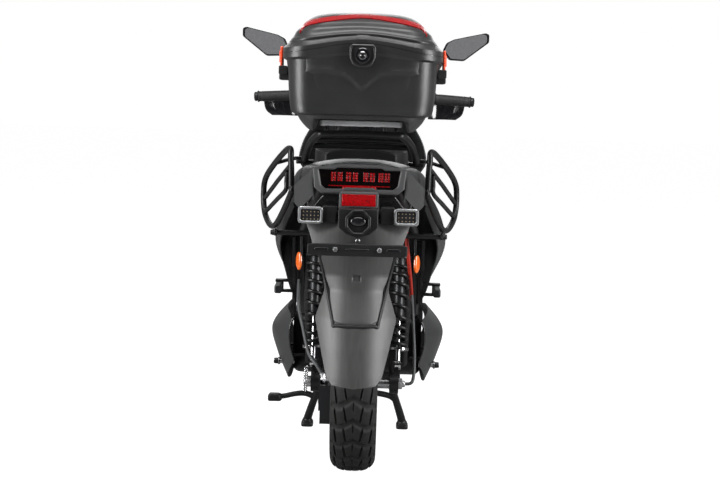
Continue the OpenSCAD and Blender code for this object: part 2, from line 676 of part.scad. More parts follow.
module damper_bodies() color("#222325") {
    for (side = [-1, 1]) shock_axes(side) difference() {
        union() {
            rotate([0, 90, 0]) translate([0, 0, -8]) cylinder(r = eye_r, h = 16);
            translate([0, 0, eye_r - 3]) cylinder(r = 15, h = 201 - eye_r);
            translate([0, 0, 28]) cylinder(r = seat_r, h = 7);
        }
        rotate([0, 90, 0]) translate([0, 0, -10]) cylinder(r = shock_stud_r + running_gap, h = 20);
        translate([0, 0, 36]) cylinder(r = 6 + running_gap, h = 170);
    }
}

module damper_rods() color("#bfc2c4") {
    for (side = [-1, 1]) shock_axes(side) difference() {
        union() {
            translate([0, 0, 100]) cylinder(r = 6, h = shock_len - 120);
            translate([0, 0, shock_len - spring_foot]) cylinder(r = seat_r, h = 6);
            translate([0, 0, shock_len - spring_foot + 2]) cylinder(r = 7.6, h = spring_foot - 12);
            translate([0, 0, shock_len]) rotate([0, 90, 0]) translate([0, 0, -8])
                cylinder(r = shock_stud_r + open_eye_gap + 6, h = 16);
        }
        translate([0, 0, shock_len]) rotate([0, 90, 0]) translate([0, 0, -10])
            cylinder(r = shock_stud_r + open_eye_gap, h = 20);
    }
}

coil_turns = 9;
coil_steps = 12;
module shock_springs() color("#111112") {
    low = spring_top - 2.7 + wire_r;
    high = shock_len - spring_foot - seat_gap - wire_r;
    for (side = [-1, 1]) shock_axes(side)
        sweep([for (i = [0:coil_turns * coil_steps]) let (a = 360 * i / coil_steps)
            [coil_r * cos(a), coil_r * sin(a), lerp(low, high, i / (coil_turns * coil_steps))]], wire_r, 6);
}

// Steering
module fork_crown() color("#2b2d2f") {
    fork_axes() {
        translate([-120, -44, yoke_low]) cube([240, 66, 24]);
        both() translate([leg_x, 0, 90]) cylinder(r = stanchion_r, h = yoke_low - 80);
        translate([0, axis_offset, yoke_low + 10]) cylinder(r = stem_r, h = 240);
        translate([0, axis_offset, yoke_low + 23]) cylinder(r = stem_r + 6, h = head_low - yoke_low - 23.4);
        translate([-48, -52, head_high + 6]) cube([96, 60, 24]);
    }
    difference() {
        both() rod(at([30, 1022, 884]), at([30, 948, bar_z]), 10);
        across(-60, 60, 948, bar_z, bar_r + seat_gap);
    }
}

bar_z = 976;
grip_from = [185, 945, 1008];
grip_to = [350, 925, 998];
grip_dir = unit(grip_to - grip_from);
grip_start = 43;
module on_grip(side) {
    translate([side * grip_from.x, at_y(grip_from.y), grip_from.z])
        rotate([0, acos(grip_dir.z), atan2(grip_dir.y, side * grip_dir.x)]) children();
}
lever_pivot = [204, 984, 1006];
lever_path = [[204, 984, 1006], [240, 998, 1003], [300, 996, 998], [352, 984, 993]];
module handlebar() color("#1f2022") {
    both() {
        bent([at([0, 948, bar_z]), at([96, 948, bar_z]), at([150, 948, 1004]), at(grip_from)], bar_r);
        on_grip(1) cylinder(r = bar_r, h = 169);
        on_grip(1) cylinder(r = grip_r + 2, h = 38);
        block(192, 216, 950, 994, lever_pivot.z + 6.4, lever_pivot.z + 11);
        block(192, 216, 950, 994, lever_pivot.z - 11, lever_pivot.z - 6.4);
        translate(at([lever_pivot.x, lever_pivot.y, lever_pivot.z - 8])) cylinder(r = lever_pin_r, h = 16);
        bent([at([208, 948, 1018]), at([214, 948, 1060]), at([262, 950, 1148])], 6);
        translate(at([262, 950, 1148])) sphere(r = 9);
    }
}

module dash_display() color("#0f1012") {
    translate(at([0, 962, 996])) rotate([32, 0, 0]) translate([-72, -8, 0]) cube([144, 20, 78]);
    both() block(24, 36, 950, 962, bar_z + bar_r + seat_gap, 1004);
}

guard_rows = [[1012, 1.0], [985, 1.12], [955, 1.05], [938, 0.86]];
module hand_guards() color("#101113") {
    both() {
        panel([for (r = guard_rows) [for (c = [[212, 1016], [245, 1030], [285, 1026], [318, 1006]])
            at([210 + (c.x - 210) * r[1], c.y, r[0]])]], -3);
        block(206, 214, 994 + seat_gap, 1016, 995, 999.6);
    }
}

module grip(side, gap) {
    on_grip(side) difference() {
        translate([0, 0, grip_start]) cylinder(r = grip_r, h = grip_len);
        cylinder(r = bar_r + gap, h = 400, center = true);
    }
}
module left_grip() color("#161617") grip(-1, 0.05);
module throttle_grip() color("#161617") grip(1, running_gap);

module brake_lever(side) {
    difference() {
        union() {
            sweep([for (p = spline(lever_path, 3)) let (q = at(p)) [side * q.x, q.y, q.z]], 5, 10);
            translate(at([side * lever_pivot.x, lever_pivot.y, lever_pivot.z - 5])) cylinder(r = 9, h = 10);
        }
        translate(at([side * lever_pivot.x, lever_pivot.y, 950])) cylinder(r = lever_pin_r + running_gap, h = 100);
    }
}
module lever_left() color("#232426") brake_lever(-1);
module lever_right() color("#232426") brake_lever(1);

mirror_outline = [[-18, -14], [14, -20], [66, -8], [112, 26], [140, 66], [118, 74], [40, 58], [-4, 28]];
module mirror_head(side) {
    difference() {
        translate(at([side * 262, 950, 1150])) scale([side, 1, 1]) rotate([90, 0, 0]) translate([0, 0, -14])
            linear_extrude(height = 26) polygon(mirror_outline);
        translate(at([side * 262, 950, 1148])) sphere(r = 9 + seat_gap);
        translate(at([side * 262, 950, 1148])) rotate([0, side * 28, 0]) translate([0, 0, -60])
            cylinder(r = 13, h = 60);
    }
}
module mirror_left() color("#1b1c1e") mirror_head(-1);
module mirror_right() color("#1b1c1e") mirror_head(1);

module fork_sliders() color("#34363a") {
    difference() {
        union() {
            fork_axes() {
                both() translate([leg_x, 0, -22]) cylinder(r = slider_r, h = 422);
                translate([-92, -86, 36]) cube([36, 60, 88]);
                translate([-92, -30, 56]) cube([16, 24, 50]);
                both() translate([68.5, -14, 215]) cube([16, 28, 30]);
            }
            translate([0, front_y, axle_z]) rotate([0, 90, 0]) cylinder(r = axle_r, h = 2 * leg_x + 50, center = true);
        }
        fork_axes() both() translate([leg_x, 0, 16]) cylinder(r = stanchion_r + running_gap, h = 400);
        translate([-70.5, front_y, axle_z]) rotate([0, 90, 0]) difference() {
            cylinder(r = disc_r + 3, h = 9);
            translate([0, 0, -1]) cylinder(r = 30, h = 11);
        }
    }
    difference() {
        union() {
            translate([51, front_y, axle_z]) rotate([0, 90, 0]) cylinder(r = 14, h = 24);
            translate([disc_x - 8, front_y, axle_z]) rotate([0, 90, 0]) cylinder(r = 14, h = 7);
        }
        translate([-90, front_y, axle_z]) rotate([0, 90, 0]) cylinder(r = axle_r - 1, h = 180);
    }
}

function fender_row(a) = [for (s = [-1, -0.6, 0, 0.6, 1])
    let (r = tyre_r + 18 - 26 * s * s) [66 * s, front_y + r * cos(a), axle_z + r * sin(a)]];
module front_fender() color("#3f4144") {
    panel([for (a = [28:20:168]) fender_row(a)], -panel_wall);
}

module front_rim() color("#1f2022") {
    hw = front_tyre_w / 2 - 18;
    translate([0, front_y, axle_z]) rotate([0, 90, 0]) difference() {
        union() {
            rotate_extrude($fn = 96) polygon(rim_band(hw));
            cylinder(r = 28, h = 100, center = true);
            translate([0, 0, -63.8]) cylinder(r = 38, h = 20);
            for (a = [0:72:288]) rotate([0, 0, a]) translate([20, -11, -12]) cube([rim_r - 28, 22, 24]);
        }
        cylinder(r = axle_r + running_gap, h = 200, center = true);
    }
}
module front_disc() color("#9a9da0") translate([disc_x, front_y, axle_z]) brake_disc(24);

// Stand, pegs and pedal spindle
stand_leg = [[100, 470, 172], [122, 508, 96], [145, 546, 22]];
module centre_stand() color("#1a1b1c") {
    difference() {
        union() {
            across(-112, 112, stand_pivot.x, stand_pivot.y, stand_pin_r + 8);
            both() {
                bent([for (p = stand_leg) at(p)], 11);
                block(127, 163, 520, 576, 0, 14);
                translate(at([145, 546, 10])) cylinder(r = 14, h = 12);
            }
            bent([at([-124, 511, 90]), at([-60, 500, 112]), at([60, 500, 112]), at([124, 511, 90])], 9);
            bent([at([-122, 508, 96]), at([-176, 500, 104]), at([-236, 496, 98])], 8);
            block(-262, -222, 478, 514, 92, 100);
        }
        across(-120, 120, stand_pivot.x, stand_pivot.y, stand_pin_r + running_gap);
    }
}

module stand_springs() color("#c4c7c9") {
    sweep([for (i = [0:5]) at([-148 - i, 446 + 11 * i, 198 - 17.5 * i])], 7, 8, [1, 0, 0]);
}

module peg(side) {
    difference() {
        scale([side, 1, 1]) {
            translate(at(peg_pivot - [0, 0, peg_half_h])) cylinder(r = 11, h = 2 * peg_half_h);
            block(213, 231, 152, 250, peg_pivot.z - peg_half_h, peg_pivot.z + peg_half_h);
        }
        translate(at([side * peg_pivot.x, peg_pivot.y, peg_pivot.z - 20])) cylinder(r = 4 + running_gap, h = 40);
    }
}
module peg_left() color("#1f2022") peg(-1);
module peg_right() color("#1f2022") peg(1);

module pedal_spindle() color("#8e9194") {
    across(-spindle_end, spindle_end, spindle_at.x, spindle_at.y, spindle_r);
    both() across(238, 242, spindle_at.x, spindle_at.y, spindle_r + 4);
}

main_frame();
battery_pack();
motor_controller();
floor_board();
leg_shield();
front_fairing();
headlight();
windscreen();
side_covers();
belly_panels();
tail_fairing();
tail_light();
rear_mudguard();
plate_bracket();
plate_lamp();
reflectors();
rear_signals();
rear_rack();
rack_plate();
side_guards();
guard_crossbar();
peg_brackets();
case_base();
seat_base();
seat_cushion();
case_lid();
lid_strip();
case_lock();
latch_left();
latch_right();
swingarm();
rear_axle();
rear_caliper();
cables();
rear_tyre();
rear_hub();
rear_disc();
damper_bodies();
damper_rods();
shock_springs();
fork_crown();
handlebar();
dash_display();
hand_guards();
left_grip();
throttle_grip();
lever_left();
lever_right();
mirror_left();
mirror_right();
fork_sliders();
front_fender();
front_tyre();
front_rim();
front_disc();
centre_stand();
stand_springs();
peg_left();
peg_right();
pedal_spindle();
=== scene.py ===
import math

import bpy
import numpy as np
from mathutils import Matrix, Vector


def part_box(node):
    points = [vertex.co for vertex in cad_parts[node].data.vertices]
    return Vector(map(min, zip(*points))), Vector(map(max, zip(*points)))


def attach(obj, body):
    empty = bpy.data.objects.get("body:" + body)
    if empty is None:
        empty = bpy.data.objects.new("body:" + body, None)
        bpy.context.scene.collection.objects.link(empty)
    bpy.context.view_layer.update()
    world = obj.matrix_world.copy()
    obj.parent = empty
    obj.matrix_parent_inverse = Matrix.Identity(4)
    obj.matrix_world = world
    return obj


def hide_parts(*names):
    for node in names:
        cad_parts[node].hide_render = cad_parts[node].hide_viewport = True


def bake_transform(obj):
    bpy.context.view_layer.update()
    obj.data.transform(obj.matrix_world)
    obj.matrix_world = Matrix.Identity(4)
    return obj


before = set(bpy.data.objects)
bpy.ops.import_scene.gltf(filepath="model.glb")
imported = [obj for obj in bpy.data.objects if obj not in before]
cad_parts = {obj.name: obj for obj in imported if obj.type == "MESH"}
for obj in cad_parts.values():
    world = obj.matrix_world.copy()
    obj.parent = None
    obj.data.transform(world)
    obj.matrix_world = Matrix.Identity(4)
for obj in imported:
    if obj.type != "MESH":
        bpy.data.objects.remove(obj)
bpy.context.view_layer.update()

# Floor, light and camera. Two tall soft lights, one overhead and one ahead light a plain pale floor, seen
# from behind at the height of the top case. Floor and sky are white to the camera and dimmer to the rays that
# light.
stage_scene = bpy.context.scene
stage_scene.view_settings.view_transform = "Standard"


def lens_direction(yaw, pitch, roll):
    """Right, up and backward axes of a camera that looks along +Y, turned by yaw about z, then pitch, then
    roll."""
    y, p, r = np.radians([yaw, pitch, roll])
    ahead = np.array([np.sin(y) * np.cos(p), np.cos(y) * np.cos(p), np.sin(p)])
    right = np.cross(ahead, [0, 0, 1])
    right /= np.linalg.norm(right)
    up = np.cross(right, ahead)
    return right * np.cos(r) + up * np.sin(r), up * np.cos(r) - right * np.sin(r), -ahead


eye = [0.0265, -4.786, 1.0007]
right, up, back = lens_direction(-0.309, -5.15, 1.587)
camera = bpy.data.objects.new("camera", bpy.data.cameras.new("camera"))
camera.data.lens = 78.24
camera.data.sensor_width = 36
camera.data.clip_end = 200
camera.matrix_world = Matrix(np.vstack([np.column_stack([right, up, back, eye]), [0, 0, 0, 1]]).tolist())
stage_scene.collection.objects.link(camera)
stage_scene.camera = camera

floor_mesh = bpy.data.meshes.new("floor")
floor_mesh.from_pydata([(-40, -40, 0), (40, -40, 0), (40, 40, 0), (-40, 40, 0)], [], [(0, 1, 2, 3)])
floor = bpy.data.objects.new("floor", floor_mesh)
floor.location.z = -0.0005
stage_scene.collection.objects.link(floor)
floor_finish = bpy.data.materials.new("pale_floor")
floor_finish.use_nodes = True
floor_shader = floor_finish.node_tree.nodes["Principled BSDF"].inputs
floor_shader["Base Color"].default_value = (0.30, 0.30, 0.30, 1)
floor_tree = floor_finish.node_tree
floor_seen = floor_tree.nodes.new("ShaderNodeLightPath").outputs["Is Camera Ray"]
floor_tree.links.new(floor_seen, floor_shader["Emission Color"])
floor_shader["Roughness"].default_value = 0.95
floor_shader["Specular IOR Level"].default_value = 0.0
floor_shader["Emission Strength"].default_value = 0.95
floor_mesh.materials.append(floor_finish)

room = bpy.data.worlds.new("studio")
room.use_nodes = True
sky = room.node_tree.nodes["Background"]
heights = room.node_tree.nodes.new("ShaderNodeTexCoord").outputs["Generated"]
split = room.node_tree.nodes.new("ShaderNodeSeparateXYZ")
sky_tone = room.node_tree.nodes.new("ShaderNodeMapRange")
sky_tone.inputs["From Min"].default_value = -1.0
sky_tone.inputs["To Min"].default_value = 0.0
sky_tone.inputs["To Max"].default_value = 0.30
seen = room.node_tree.nodes.new("ShaderNodeLightPath").outputs["Is Camera Ray"]
brighter = room.node_tree.nodes.new("ShaderNodeMath")
brighter.operation = "MAXIMUM"
for start, end in [(heights, split.inputs[0]), (split.outputs["Y"], sky_tone.inputs["Value"]),
                   (seen, brighter.inputs[0]),
                   (sky_tone.outputs[0], brighter.inputs[1]), (brighter.outputs[0], sky.inputs["Strength"])]:
    room.node_tree.links.new(start, end)
sky.inputs["Color"].default_value = (1, 1, 1, 1)
stage_scene.world = room
for name, spot, aim, size, power in [
    ("left_softbox", (-2.7, -1.9, 1.3), (0, -0.5, 0.7), (0.9, 2.4), 120),
    ("right_softbox", (2.7, -1.9, 1.3), (0, -0.5, 0.7), (0.9, 2.4), 120),
    ("overhead", (0, -1.3, 3.3), (0, -0.4, 0.7), (2.4, 1.6), 85),
    ("back_light", (0, 3.4, 2.4), (0, 0.2, 0.8), (3.0, 1.6), 45),
]:
    lamp = bpy.data.objects.new(name, bpy.data.lights.new(name, "AREA"))
    lamp.data.shape = "RECTANGLE"
    lamp.data.size, lamp.data.size_y = size
    lamp.data.energy = power
    lamp.location = spot
    away = np.subtract(spot, aim) / np.linalg.norm(np.subtract(spot, aim))
    sideways = np.cross([0, 0, 1], away)
    span = np.linalg.norm(sideways)
    axes = np.column_stack([sideways / span, np.cross(away, sideways) / span, away])
    lamp.rotation_euler = Matrix(axes.tolist()).to_euler()
    stage_scene.collection.objects.link(lamp)

# Frame. Bent steel tube with welded lugs, powder-coated black, carries everything else. The coating has a
# fine orange-peel skin and a tone that drifts in patches.
wheel_low, wheel_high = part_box("rear_tyre")
axle = np.array((wheel_low + wheel_high) / 2)
tyre_radius = (wheel_high.z - wheel_low.z) / 2


class Socket:
    """An output of a material's node. Arithmetic on it adds a Math node, so that a mask reads as its
    formula."""

    def __init__(self, tree, link):
        self.tree, self.link = tree, link

    def node(self, kind, settings=None, sockets=None, output=0):
        """A node of that kind in the same material: its settings, then the values or links of its sockets."""
        made = self.tree.nodes.new("ShaderNode" + kind)
        for key, value in (settings or {}).items():
            if key == "stops":
                ramp = made.color_ramp.elements
                while len(ramp) < len(value):
                    ramp.new(0.5)
                for stop, (place_on, colour) in zip(ramp, value):
                    stop.position, stop.color = place_on, (*colour, 1)
            else:
                setattr(made, key, value)
        for key, value in (sockets or {}).items():
            if isinstance(value, Socket):
                self.tree.links.new(value.link, made.inputs[key])
            else:
                made.inputs[key].default_value = value
        return Socket(self.tree, made.outputs[output])

    def math(self, operation, *values):
        return self.node("Math", {"operation": operation}, dict(enumerate(values)))

    def __add__(self, other):
        return self.math("ADD", self, other)

    def __sub__(self, other):
        return self.math("SUBTRACT", self, other)

    def __rsub__(self, other):
        return self.math("SUBTRACT", other, self)

    def __mul__(self, other):
        return self.math("MULTIPLY", self, other)

    __radd__, __rmul__ = __add__, __mul__

    def noise(self, scale, detail=2.0, roughness=0.5, stretch=(1, 1, 1)):
        """Noise in 0..1 on these coordinates, in cells per metre, finer along an axis that stretch
        multiplies."""
        spot = self.node("Mapping", None, {"Vector": self, "Scale": stretch})
        return self.node("TexNoise", None, {"Vector": spot, "Scale": scale, "Detail": detail,
                                            "Roughness": roughness})

    def mix(self, low, high):
        """Between two colours by this mask: low * (1 - mask) + high * mask."""
        return self.node("Mix", {"data_type": "RGBA"}, {"Factor": self, 6: (*low, 1), 7: (*high, 1)}, 2)

    def bump(self, depth, strength=1.0):
        """A normal from this height, in metres when multiplied by depth."""
        return self.node("Bump", None, {"Height": self, "Distance": depth, "Strength": strength})


def material(name, surface, **constants):
    """A node material. surface takes the Object coordinates and gives what varies, by socket name; constants
    are set directly on the shader."""
    made = bpy.data.materials.new(name)
    made.use_nodes = True
    shader = made.node_tree.nodes["Principled BSDF"]
    start = Socket(made.node_tree, made.node_tree.nodes.new("ShaderNodeTexCoord").outputs["Object"])
    for key, value in constants.items():
        shader.inputs[key.replace("_", " ")].default_value = value
    for key, value in surface(start).items():
        start.tree.links.new(value.link, shader.inputs[key])
    return made


def coated(low, high, rough, grain, depth):
    """Colour that drifts between two tones in patches, roughness that follows, and a fine pebbled skin."""
    def surface(spot):
        patch = spot.noise(9, 4, 0.6)
        fine = spot.noise(grain, 2, 0.6)
        tone = patch * 0.6 + fine * 0.4
        return {
            "Base Color": tone.mix(low, high),
            "Roughness": tone * 0.24 + (rough - 0.12),
            "Normal": fine.bump(depth),
        }
    return surface


black_paint = material("black_powder_coat", coated((0.003, 0.003, 0.0035), (0.011, 0.011, 0.012), 0.40, 900,
                                                   0.00012),
                       Specular_IOR_Level=0.35)


def metres(points):
    """Millimetres across, forward of the rear axle and up, as metres in the shared frame: y gains the axle's
    y."""
    return np.asarray(points, float) / 1000 + [0, axle[1], 0]


def smoothed(points, steps, loop=False):
    """Catmull-Rom through the points of the first axis, at steps places a span: half of
    2b + (c - a) t + (2a - 5b + 4c - d) t^2 + (3b - a - 3c + d) t^3."""
    P = np.asarray(points, float)
    k = len(P)
    i = np.arange(k if loop else k - 1)
    a, b, c, d = (P[(i + s) % k] if loop else P[np.clip(i + s, 0, k - 1)] for s in (-1, 0, 1, 2))
    t = (np.arange(steps) / steps).reshape([1, -1] + [1] * (P.ndim - 1))
    a, b, c, d = a[:, None], b[:, None], c[:, None], d[:, None]
    Q = 0.5 * (2 * b + (c - a) * t + (2 * a - 5 * b + 4 * c - d) * t ** 2 + (3 * b - a - 3 * c + d) * t ** 3)
    Q = Q.reshape(-1, *P.shape[1:])
    return Q if loop else np.concatenate([Q, P[-1:]])


def net(rows, down, along):
    """A smooth surface through a net of points: Catmull-Rom down its columns, then along its rows."""
    P = smoothed(rows, down)
    return smoothed(P.swapaxes(0, 1), along).swapaxes(0, 1)


def grid_faces(rows, cols, down=False, around=False):
    """Quads between the points i * cols + j of a grid, which may join its last row or column to its first."""
    k = np.arange(rows * cols).reshape(rows, cols)
    if down:
        k = np.vstack([k, k[:1]])
    if around:
        k = np.hstack([k, k[:, :1]])
    return np.stack([k[:-1, :-1], k[1:, :-1], k[1:, 1:], k[:-1, 1:]], -1).reshape(-1, 4)


def solid(P):
    """A closed solid through rings P[i]: neighbours joined round each ring, and each end fanned to its
    middle."""
    P = np.asarray(P, float)
    rows, n = P.shape[:2]
    i, last = np.arange(n), (rows - 1) * n
    j, tip = (i + 1) % n, np.full(n, rows * n)
    fans = np.vstack([np.stack([j, i, tip], 1), np.stack([last + i, last + j, tip + 1], 1)])
    V = np.vstack([P.reshape(-1, 3), P[0].mean(0), P[-1].mean(0)])
    return V, grid_faces(rows, n, around=True), fans


def ring(P):
    """A closed solid through rings P[i] whose last ring joins the first."""
    P = np.asarray(P, float)
    return P.reshape(-1, 3), grid_faces(*P.shape[:2], down=True, around=True), np.zeros((0, 3), int)


def skin(P, wall):
    """A panel of even thickness: its second face lies wall inwards, along the cross product of its two
    slopes, and the rim joins both."""
    P = np.asarray(P, float)
    N = np.cross(np.gradient(P, axis=0), np.gradient(P, axis=1))
    Q = P - wall / 1000 * N / np.maximum(np.linalg.norm(N, axis=2, keepdims=True), 1e-12)
    both = np.concatenate([P, Q[:, ::-1]], 1)
    rows, n = both.shape[:2]
    half = P.shape[1]
    j = np.arange(half - 1)
    lid = np.stack([j, j + 1, n - 2 - j, n - 1 - j], 1)
    return both.reshape(-1, 3), np.vstack([grid_faces(rows, n, around=True), lid,
                                           (rows - 1) * n + lid[:, ::-1]]), \
        np.zeros((0, 3), int)


def tube(path, radius, sides=20, loop=False, up=(0, 0, 1)):
    """A round bar in millimetres: round each point of the path a circle cos * side + sin * over, where side
    is the tangent crossed with up."""
    P = np.asarray(path, float)
    T = np.roll(P, -1, 0) - np.roll(P, 1, 0) if loop else np.gradient(P, axis=0)
    T /= np.linalg.norm(T, axis=1, keepdims=True)
    side = np.cross(T, up)
    side /= np.linalg.norm(side, axis=1, keepdims=True)
    over = np.cross(T, side)
    a = np.linspace(0, 2 * np.pi, sides, endpoint=False)[None, :, None]
    r = np.broadcast_to(radius, len(P))[:, None, None]
    rings = metres(P[:, None] + r * (np.cos(a) * side[:, None] + np.sin(a) * over[:, None]))
    return ring(rings) if loop else solid(rings)


def turned(profile, centre, sides=96, loop=False):
    """A turned part on an axis along x: each (x, radius) of its profile in millimetres becomes the circle
    (x, d + radius cos, z + radius sin)."""
    x, r = np.asarray(profile, float).T[:, :, None]
    a = np.linspace(0, 2 * np.pi, sides, endpoint=False)[None]
    P = metres(np.stack(np.broadcast_arrays(x, centre[0] + r * np.cos(a), centre[1] + r * np.sin(a)), -1))
    return ring(P) if loop else solid(P)


def outline(corners, radius, steps=6):
    """A closed outline with rounded corners: from a point radius before each corner c to one radius after it
    runs (1 - t)^2 a + 2 t (1 - t) c + t^2 b."""
    C = np.asarray(corners, float)
    before, after = np.roll(C, 1, 0) - C, np.roll(C, -1, 0) - C
    r = np.broadcast_to(radius, len(C))[:, None]
    a = (C + r * before / np.linalg.norm(before, axis=1, keepdims=True))[:, None]
    b = (C + r * after / np.linalg.norm(after, axis=1, keepdims=True))[:, None]
    t = np.linspace(0, 1, steps)[None, :, None]
    return ((1 - t) ** 2 * a + 2 * t * (1 - t) * C[:, None] + t ** 2 * b).reshape(-1, 2)


def inset(shape, depth):
    """An outline moved inwards by depth along the normals of its two neighbours."""
    side = np.roll(shape, -1, 0) - np.roll(shape, 1, 0)
    N = np.stack([side[:, 1], -side[:, 0]], 1) / np.maximum(np.linalg.norm(side, axis=1, keepdims=True), 1e-9)
    x, y = shape.T
    turn = np.sign(np.sum(x * np.roll(y, -1) - y * np.roll(x, -1)))
    return shape - depth * turn * N


def plate(shape, near, far, edge=1.0, order="xzd", steps=3):
    """A flat part in millimetres with rounded edges: towards each face its outline is inset by edge (1 - sin)
    while the depth moves by edge (1 - cos). order says which way its width, height and depth lie."""
    a = np.linspace(0, np.pi / 2, steps + 1)
    sink, move = edge * (1 - np.sin(a)), edge * (1 - np.cos(a))
    s = np.sign(far - near)
    levels = list(zip(sink, near + s * move)) + list(zip(sink[::-1], far - s * move[::-1]))
    P = np.array([np.column_stack([inset(shape, e), np.full(len(shape), w)]) for e, w in levels])
    return solid(metres(P[..., [order.index(c) for c in "xdz"]]))


def slab(x, d, z, corner=2.0, edge=1.0, order="xzd"):
    """A block between two corners in millimetres, rounded round its outline by corner and at both faces by
    edge."""
    span = {"x": x, "d": d, "z": z}
    (u0, u1), (v0, v1), (w0, w1) = (span[c] for c in order)
    return plate(outline([(u0, v0), (u1, v0), (u1, v1), (u0, v1)], corner), w0, w1, edge, order)


def flipped(part):
    """The same part on the other side of the scooter."""
    return part[0] * [-1, 1, 1], part[1], part[2]


def make(name, parts, finish, body, replaces=(), sharp=38, parts_finish=None):
    """One piece from closed parts. A part is turned outwards by the sign of its volume, the sum of a . (b x
    c) over its triangles. parts_finish gives each part's place in a list of finishes."""
    V, Q, T, M, start = [], [], [], [], 0
    for index, (points, quads, fans) in enumerate(parts):
        tri = np.vstack([quads[:, [0, 1, 2]], quads[:, [0, 2, 3]], fans])
        a, b, c = (points[tri[:, k]] - points.mean(0) for k in range(3))
        if np.einsum("ij,ij->", a, np.cross(b, c)) < 0:
            quads, fans = quads[:, ::-1], fans[:, ::-1]
        V.append(points)
        Q += (quads + start).tolist() + (fans + start).tolist()
        M += [0 if parts_finish is None else parts_finish[index]] * (len(quads) + len(fans))
        start += len(points)
    mesh = bpy.data.meshes.new(name)
    mesh.from_pydata(np.vstack(V).tolist(), [], Q)
    for f in finish if isinstance(finish, list) else [finish]:
        mesh.materials.append(f)
    mesh.polygons.foreach_set("material_index", M)
    mesh.polygons.foreach_set("use_smooth", np.ones(len(Q), bool))
    mesh.update()
    mesh.set_sharp_from_angle(angle=math.radians(sharp))
    made = bpy.data.objects.new(name, mesh)
    stage_scene.collection.objects.link(made)
    if body:
        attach(made, body)
    if replaces:
        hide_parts(*replaces)
    return made


def dress(finish, *names):
    """CAD nodes whose shape is right keep it and take this finish."""
    for name in names:
        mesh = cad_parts[name].data
        mesh.materials.clear()
        mesh.materials.append(finish)


dress(black_paint, "main_frame")

# Battery and motor controller. A ribbed aluminium box on the floor rails and a finned one under the seat,
# both sand-cast and painted, bolted to the frame.
cast_paint = material("cast_case_paint", coated((0.045, 0.048, 0.052), (0.10, 0.105, 0.11), 0.5, 420, 0.0003))
cast_alloy = material("cast_alloy", coated((0.25, 0.26, 0.27), (0.38, 0.39, 0.40), 0.45, 420, 0.0003),
                      Metallic=0.9)
dress(cast_paint, "battery_pack")
dress(cast_alloy, "motor_controller")

# Tyres. Block-tread rubber on twelve-inch rims. The tread is cut by V-shaped cross grooves, two rows of
# slanted side grooves and a short sipe in each middle block; the rubber is matt, a little greyer in patches.
pitches = 24


def tread_cut(u, turn):
    """Depth 0..1 of the grooves at u across the tread and turn in pitches: V-shaped bars where the share
    of turn - 0.62 |u| is small, slanted cuts beside the middle block and near the shoulder, and a middle
    sipe."""
    wide = np.abs(u)
    step = (turn - 0.62 * wide + 0.5 * np.maximum(wide - 0.55, 0)) % 1
    soft = lambda x, w: np.clip(1.6 - np.abs(x) / w, 0, 1)
    bars = soft(np.minimum(step, 1 - step), 0.12 + 0.01 * wide)
    slant = soft(wide - (0.44 - 0.16 * step), 0.035) * (step > 0.02)
    outer = soft(wide - (0.84 - 0.14 * step), 0.035) * (step > 0.02)
    sipe = soft(wide, 0.032) * soft(step - 0.32, 0.18)
    return np.clip(np.maximum.reduce([bars, slant, outer, 0.7 * sipe]), 0, 1)


def tyre(width, depth, centre):
    """A tyre as one closed surface: its round-shouldered tread less depth times the groove depth, its
    sidewalls, and its inner face."""
    hw, r = width / 2, tyre_radius * 1000
    bead = [(hw - 18.3, 163), (hw - 13, 164.5), (hw - 8, 169), (hw - 3, 180), (hw, 193), (hw - 0.8, 205)]
    shoulder = [(hw - 3.2, 212.5), (hw - 9, 221.5), (hw - 20, 229.6), (hw - 34, 234.6), (hw - 50, 236.3)]
    inner = [(hw - 21, 160), (hw - 25, 168), (hw - 17, 184), (hw - 12, 200), (hw - 22, 214), (hw - 42, 221)]
    bead = smoothed(bead, 4)
    crown = smoothed(shoulder + [(0, r)] + [(-x, y) for x, y in shoulder[::-1]], 8)
    inner = smoothed(inner, 3)
    flip = lambda P: np.asarray(P)[::-1] * [-1, 1]
    lip = np.array([(hw - 18.3, 150.4), (hw - 18.3, 156)])
    profile = np.vstack([lip, bead, crown, flip(bead), flip(lip), [(27 - hw, 150.4)], flip(inner), inner,
                         [(hw - 27, 150.4)]])
    first = len(lip) + len(bead)
    u = np.zeros(len(profile))
    u[first:first + len(crown)] = crown[:, 0] / (hw - 3)
    mask = np.zeros(len(profile))
    mask[first:first + len(crown)] = np.clip((crown[:, 1] - 211) / 5, 0, 1)
    a = np.linspace(0, 2 * np.pi, pitches * 26, endpoint=False)
    cut = tread_cut(u[:, None], a[None] * pitches / (2 * np.pi)) * mask[:, None] * depth
    radius = profile[:, 1:] - cut
    P = np.stack(np.broadcast_arrays(profile[:, :1], centre[0] + radius * np.cos(a),
                                     centre[1] + radius * np.sin(a)),
                 -1)
    return ring(metres(P))


def worn_rubber(spot):
    """Matt black rubber: mould flow marks, dust held in patches, and skin-fine grain."""
    patch, fine = spot.noise(14, 5, 0.6), spot.noise(700, 3, 0.6)
    return {"Base Color": patch.mix((0.006, 0.006, 0.006), (0.019, 0.0185, 0.018)),
            "Roughness": patch * 0.25 + 0.52, "Normal": fine.bump(0.0002)}


rubber = material("tyre_rubber", worn_rubber, Specular_IOR_Level=0.3)
front_centre = ((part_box("front_tyre")[0].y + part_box("front_tyre")[1].y) / 2 - axle[1]) * 1000
make("rear_tread", [tyre(122, 5.5, (0, axle[2] * 1000))], rubber, "rear_wheel", ["rear_tyre"],
     28)
make("front_tread", [tyre(112, 4.5, (front_centre, axle[2] * 1000))], rubber, "front_wheel",
     ["front_tyre"], 28)

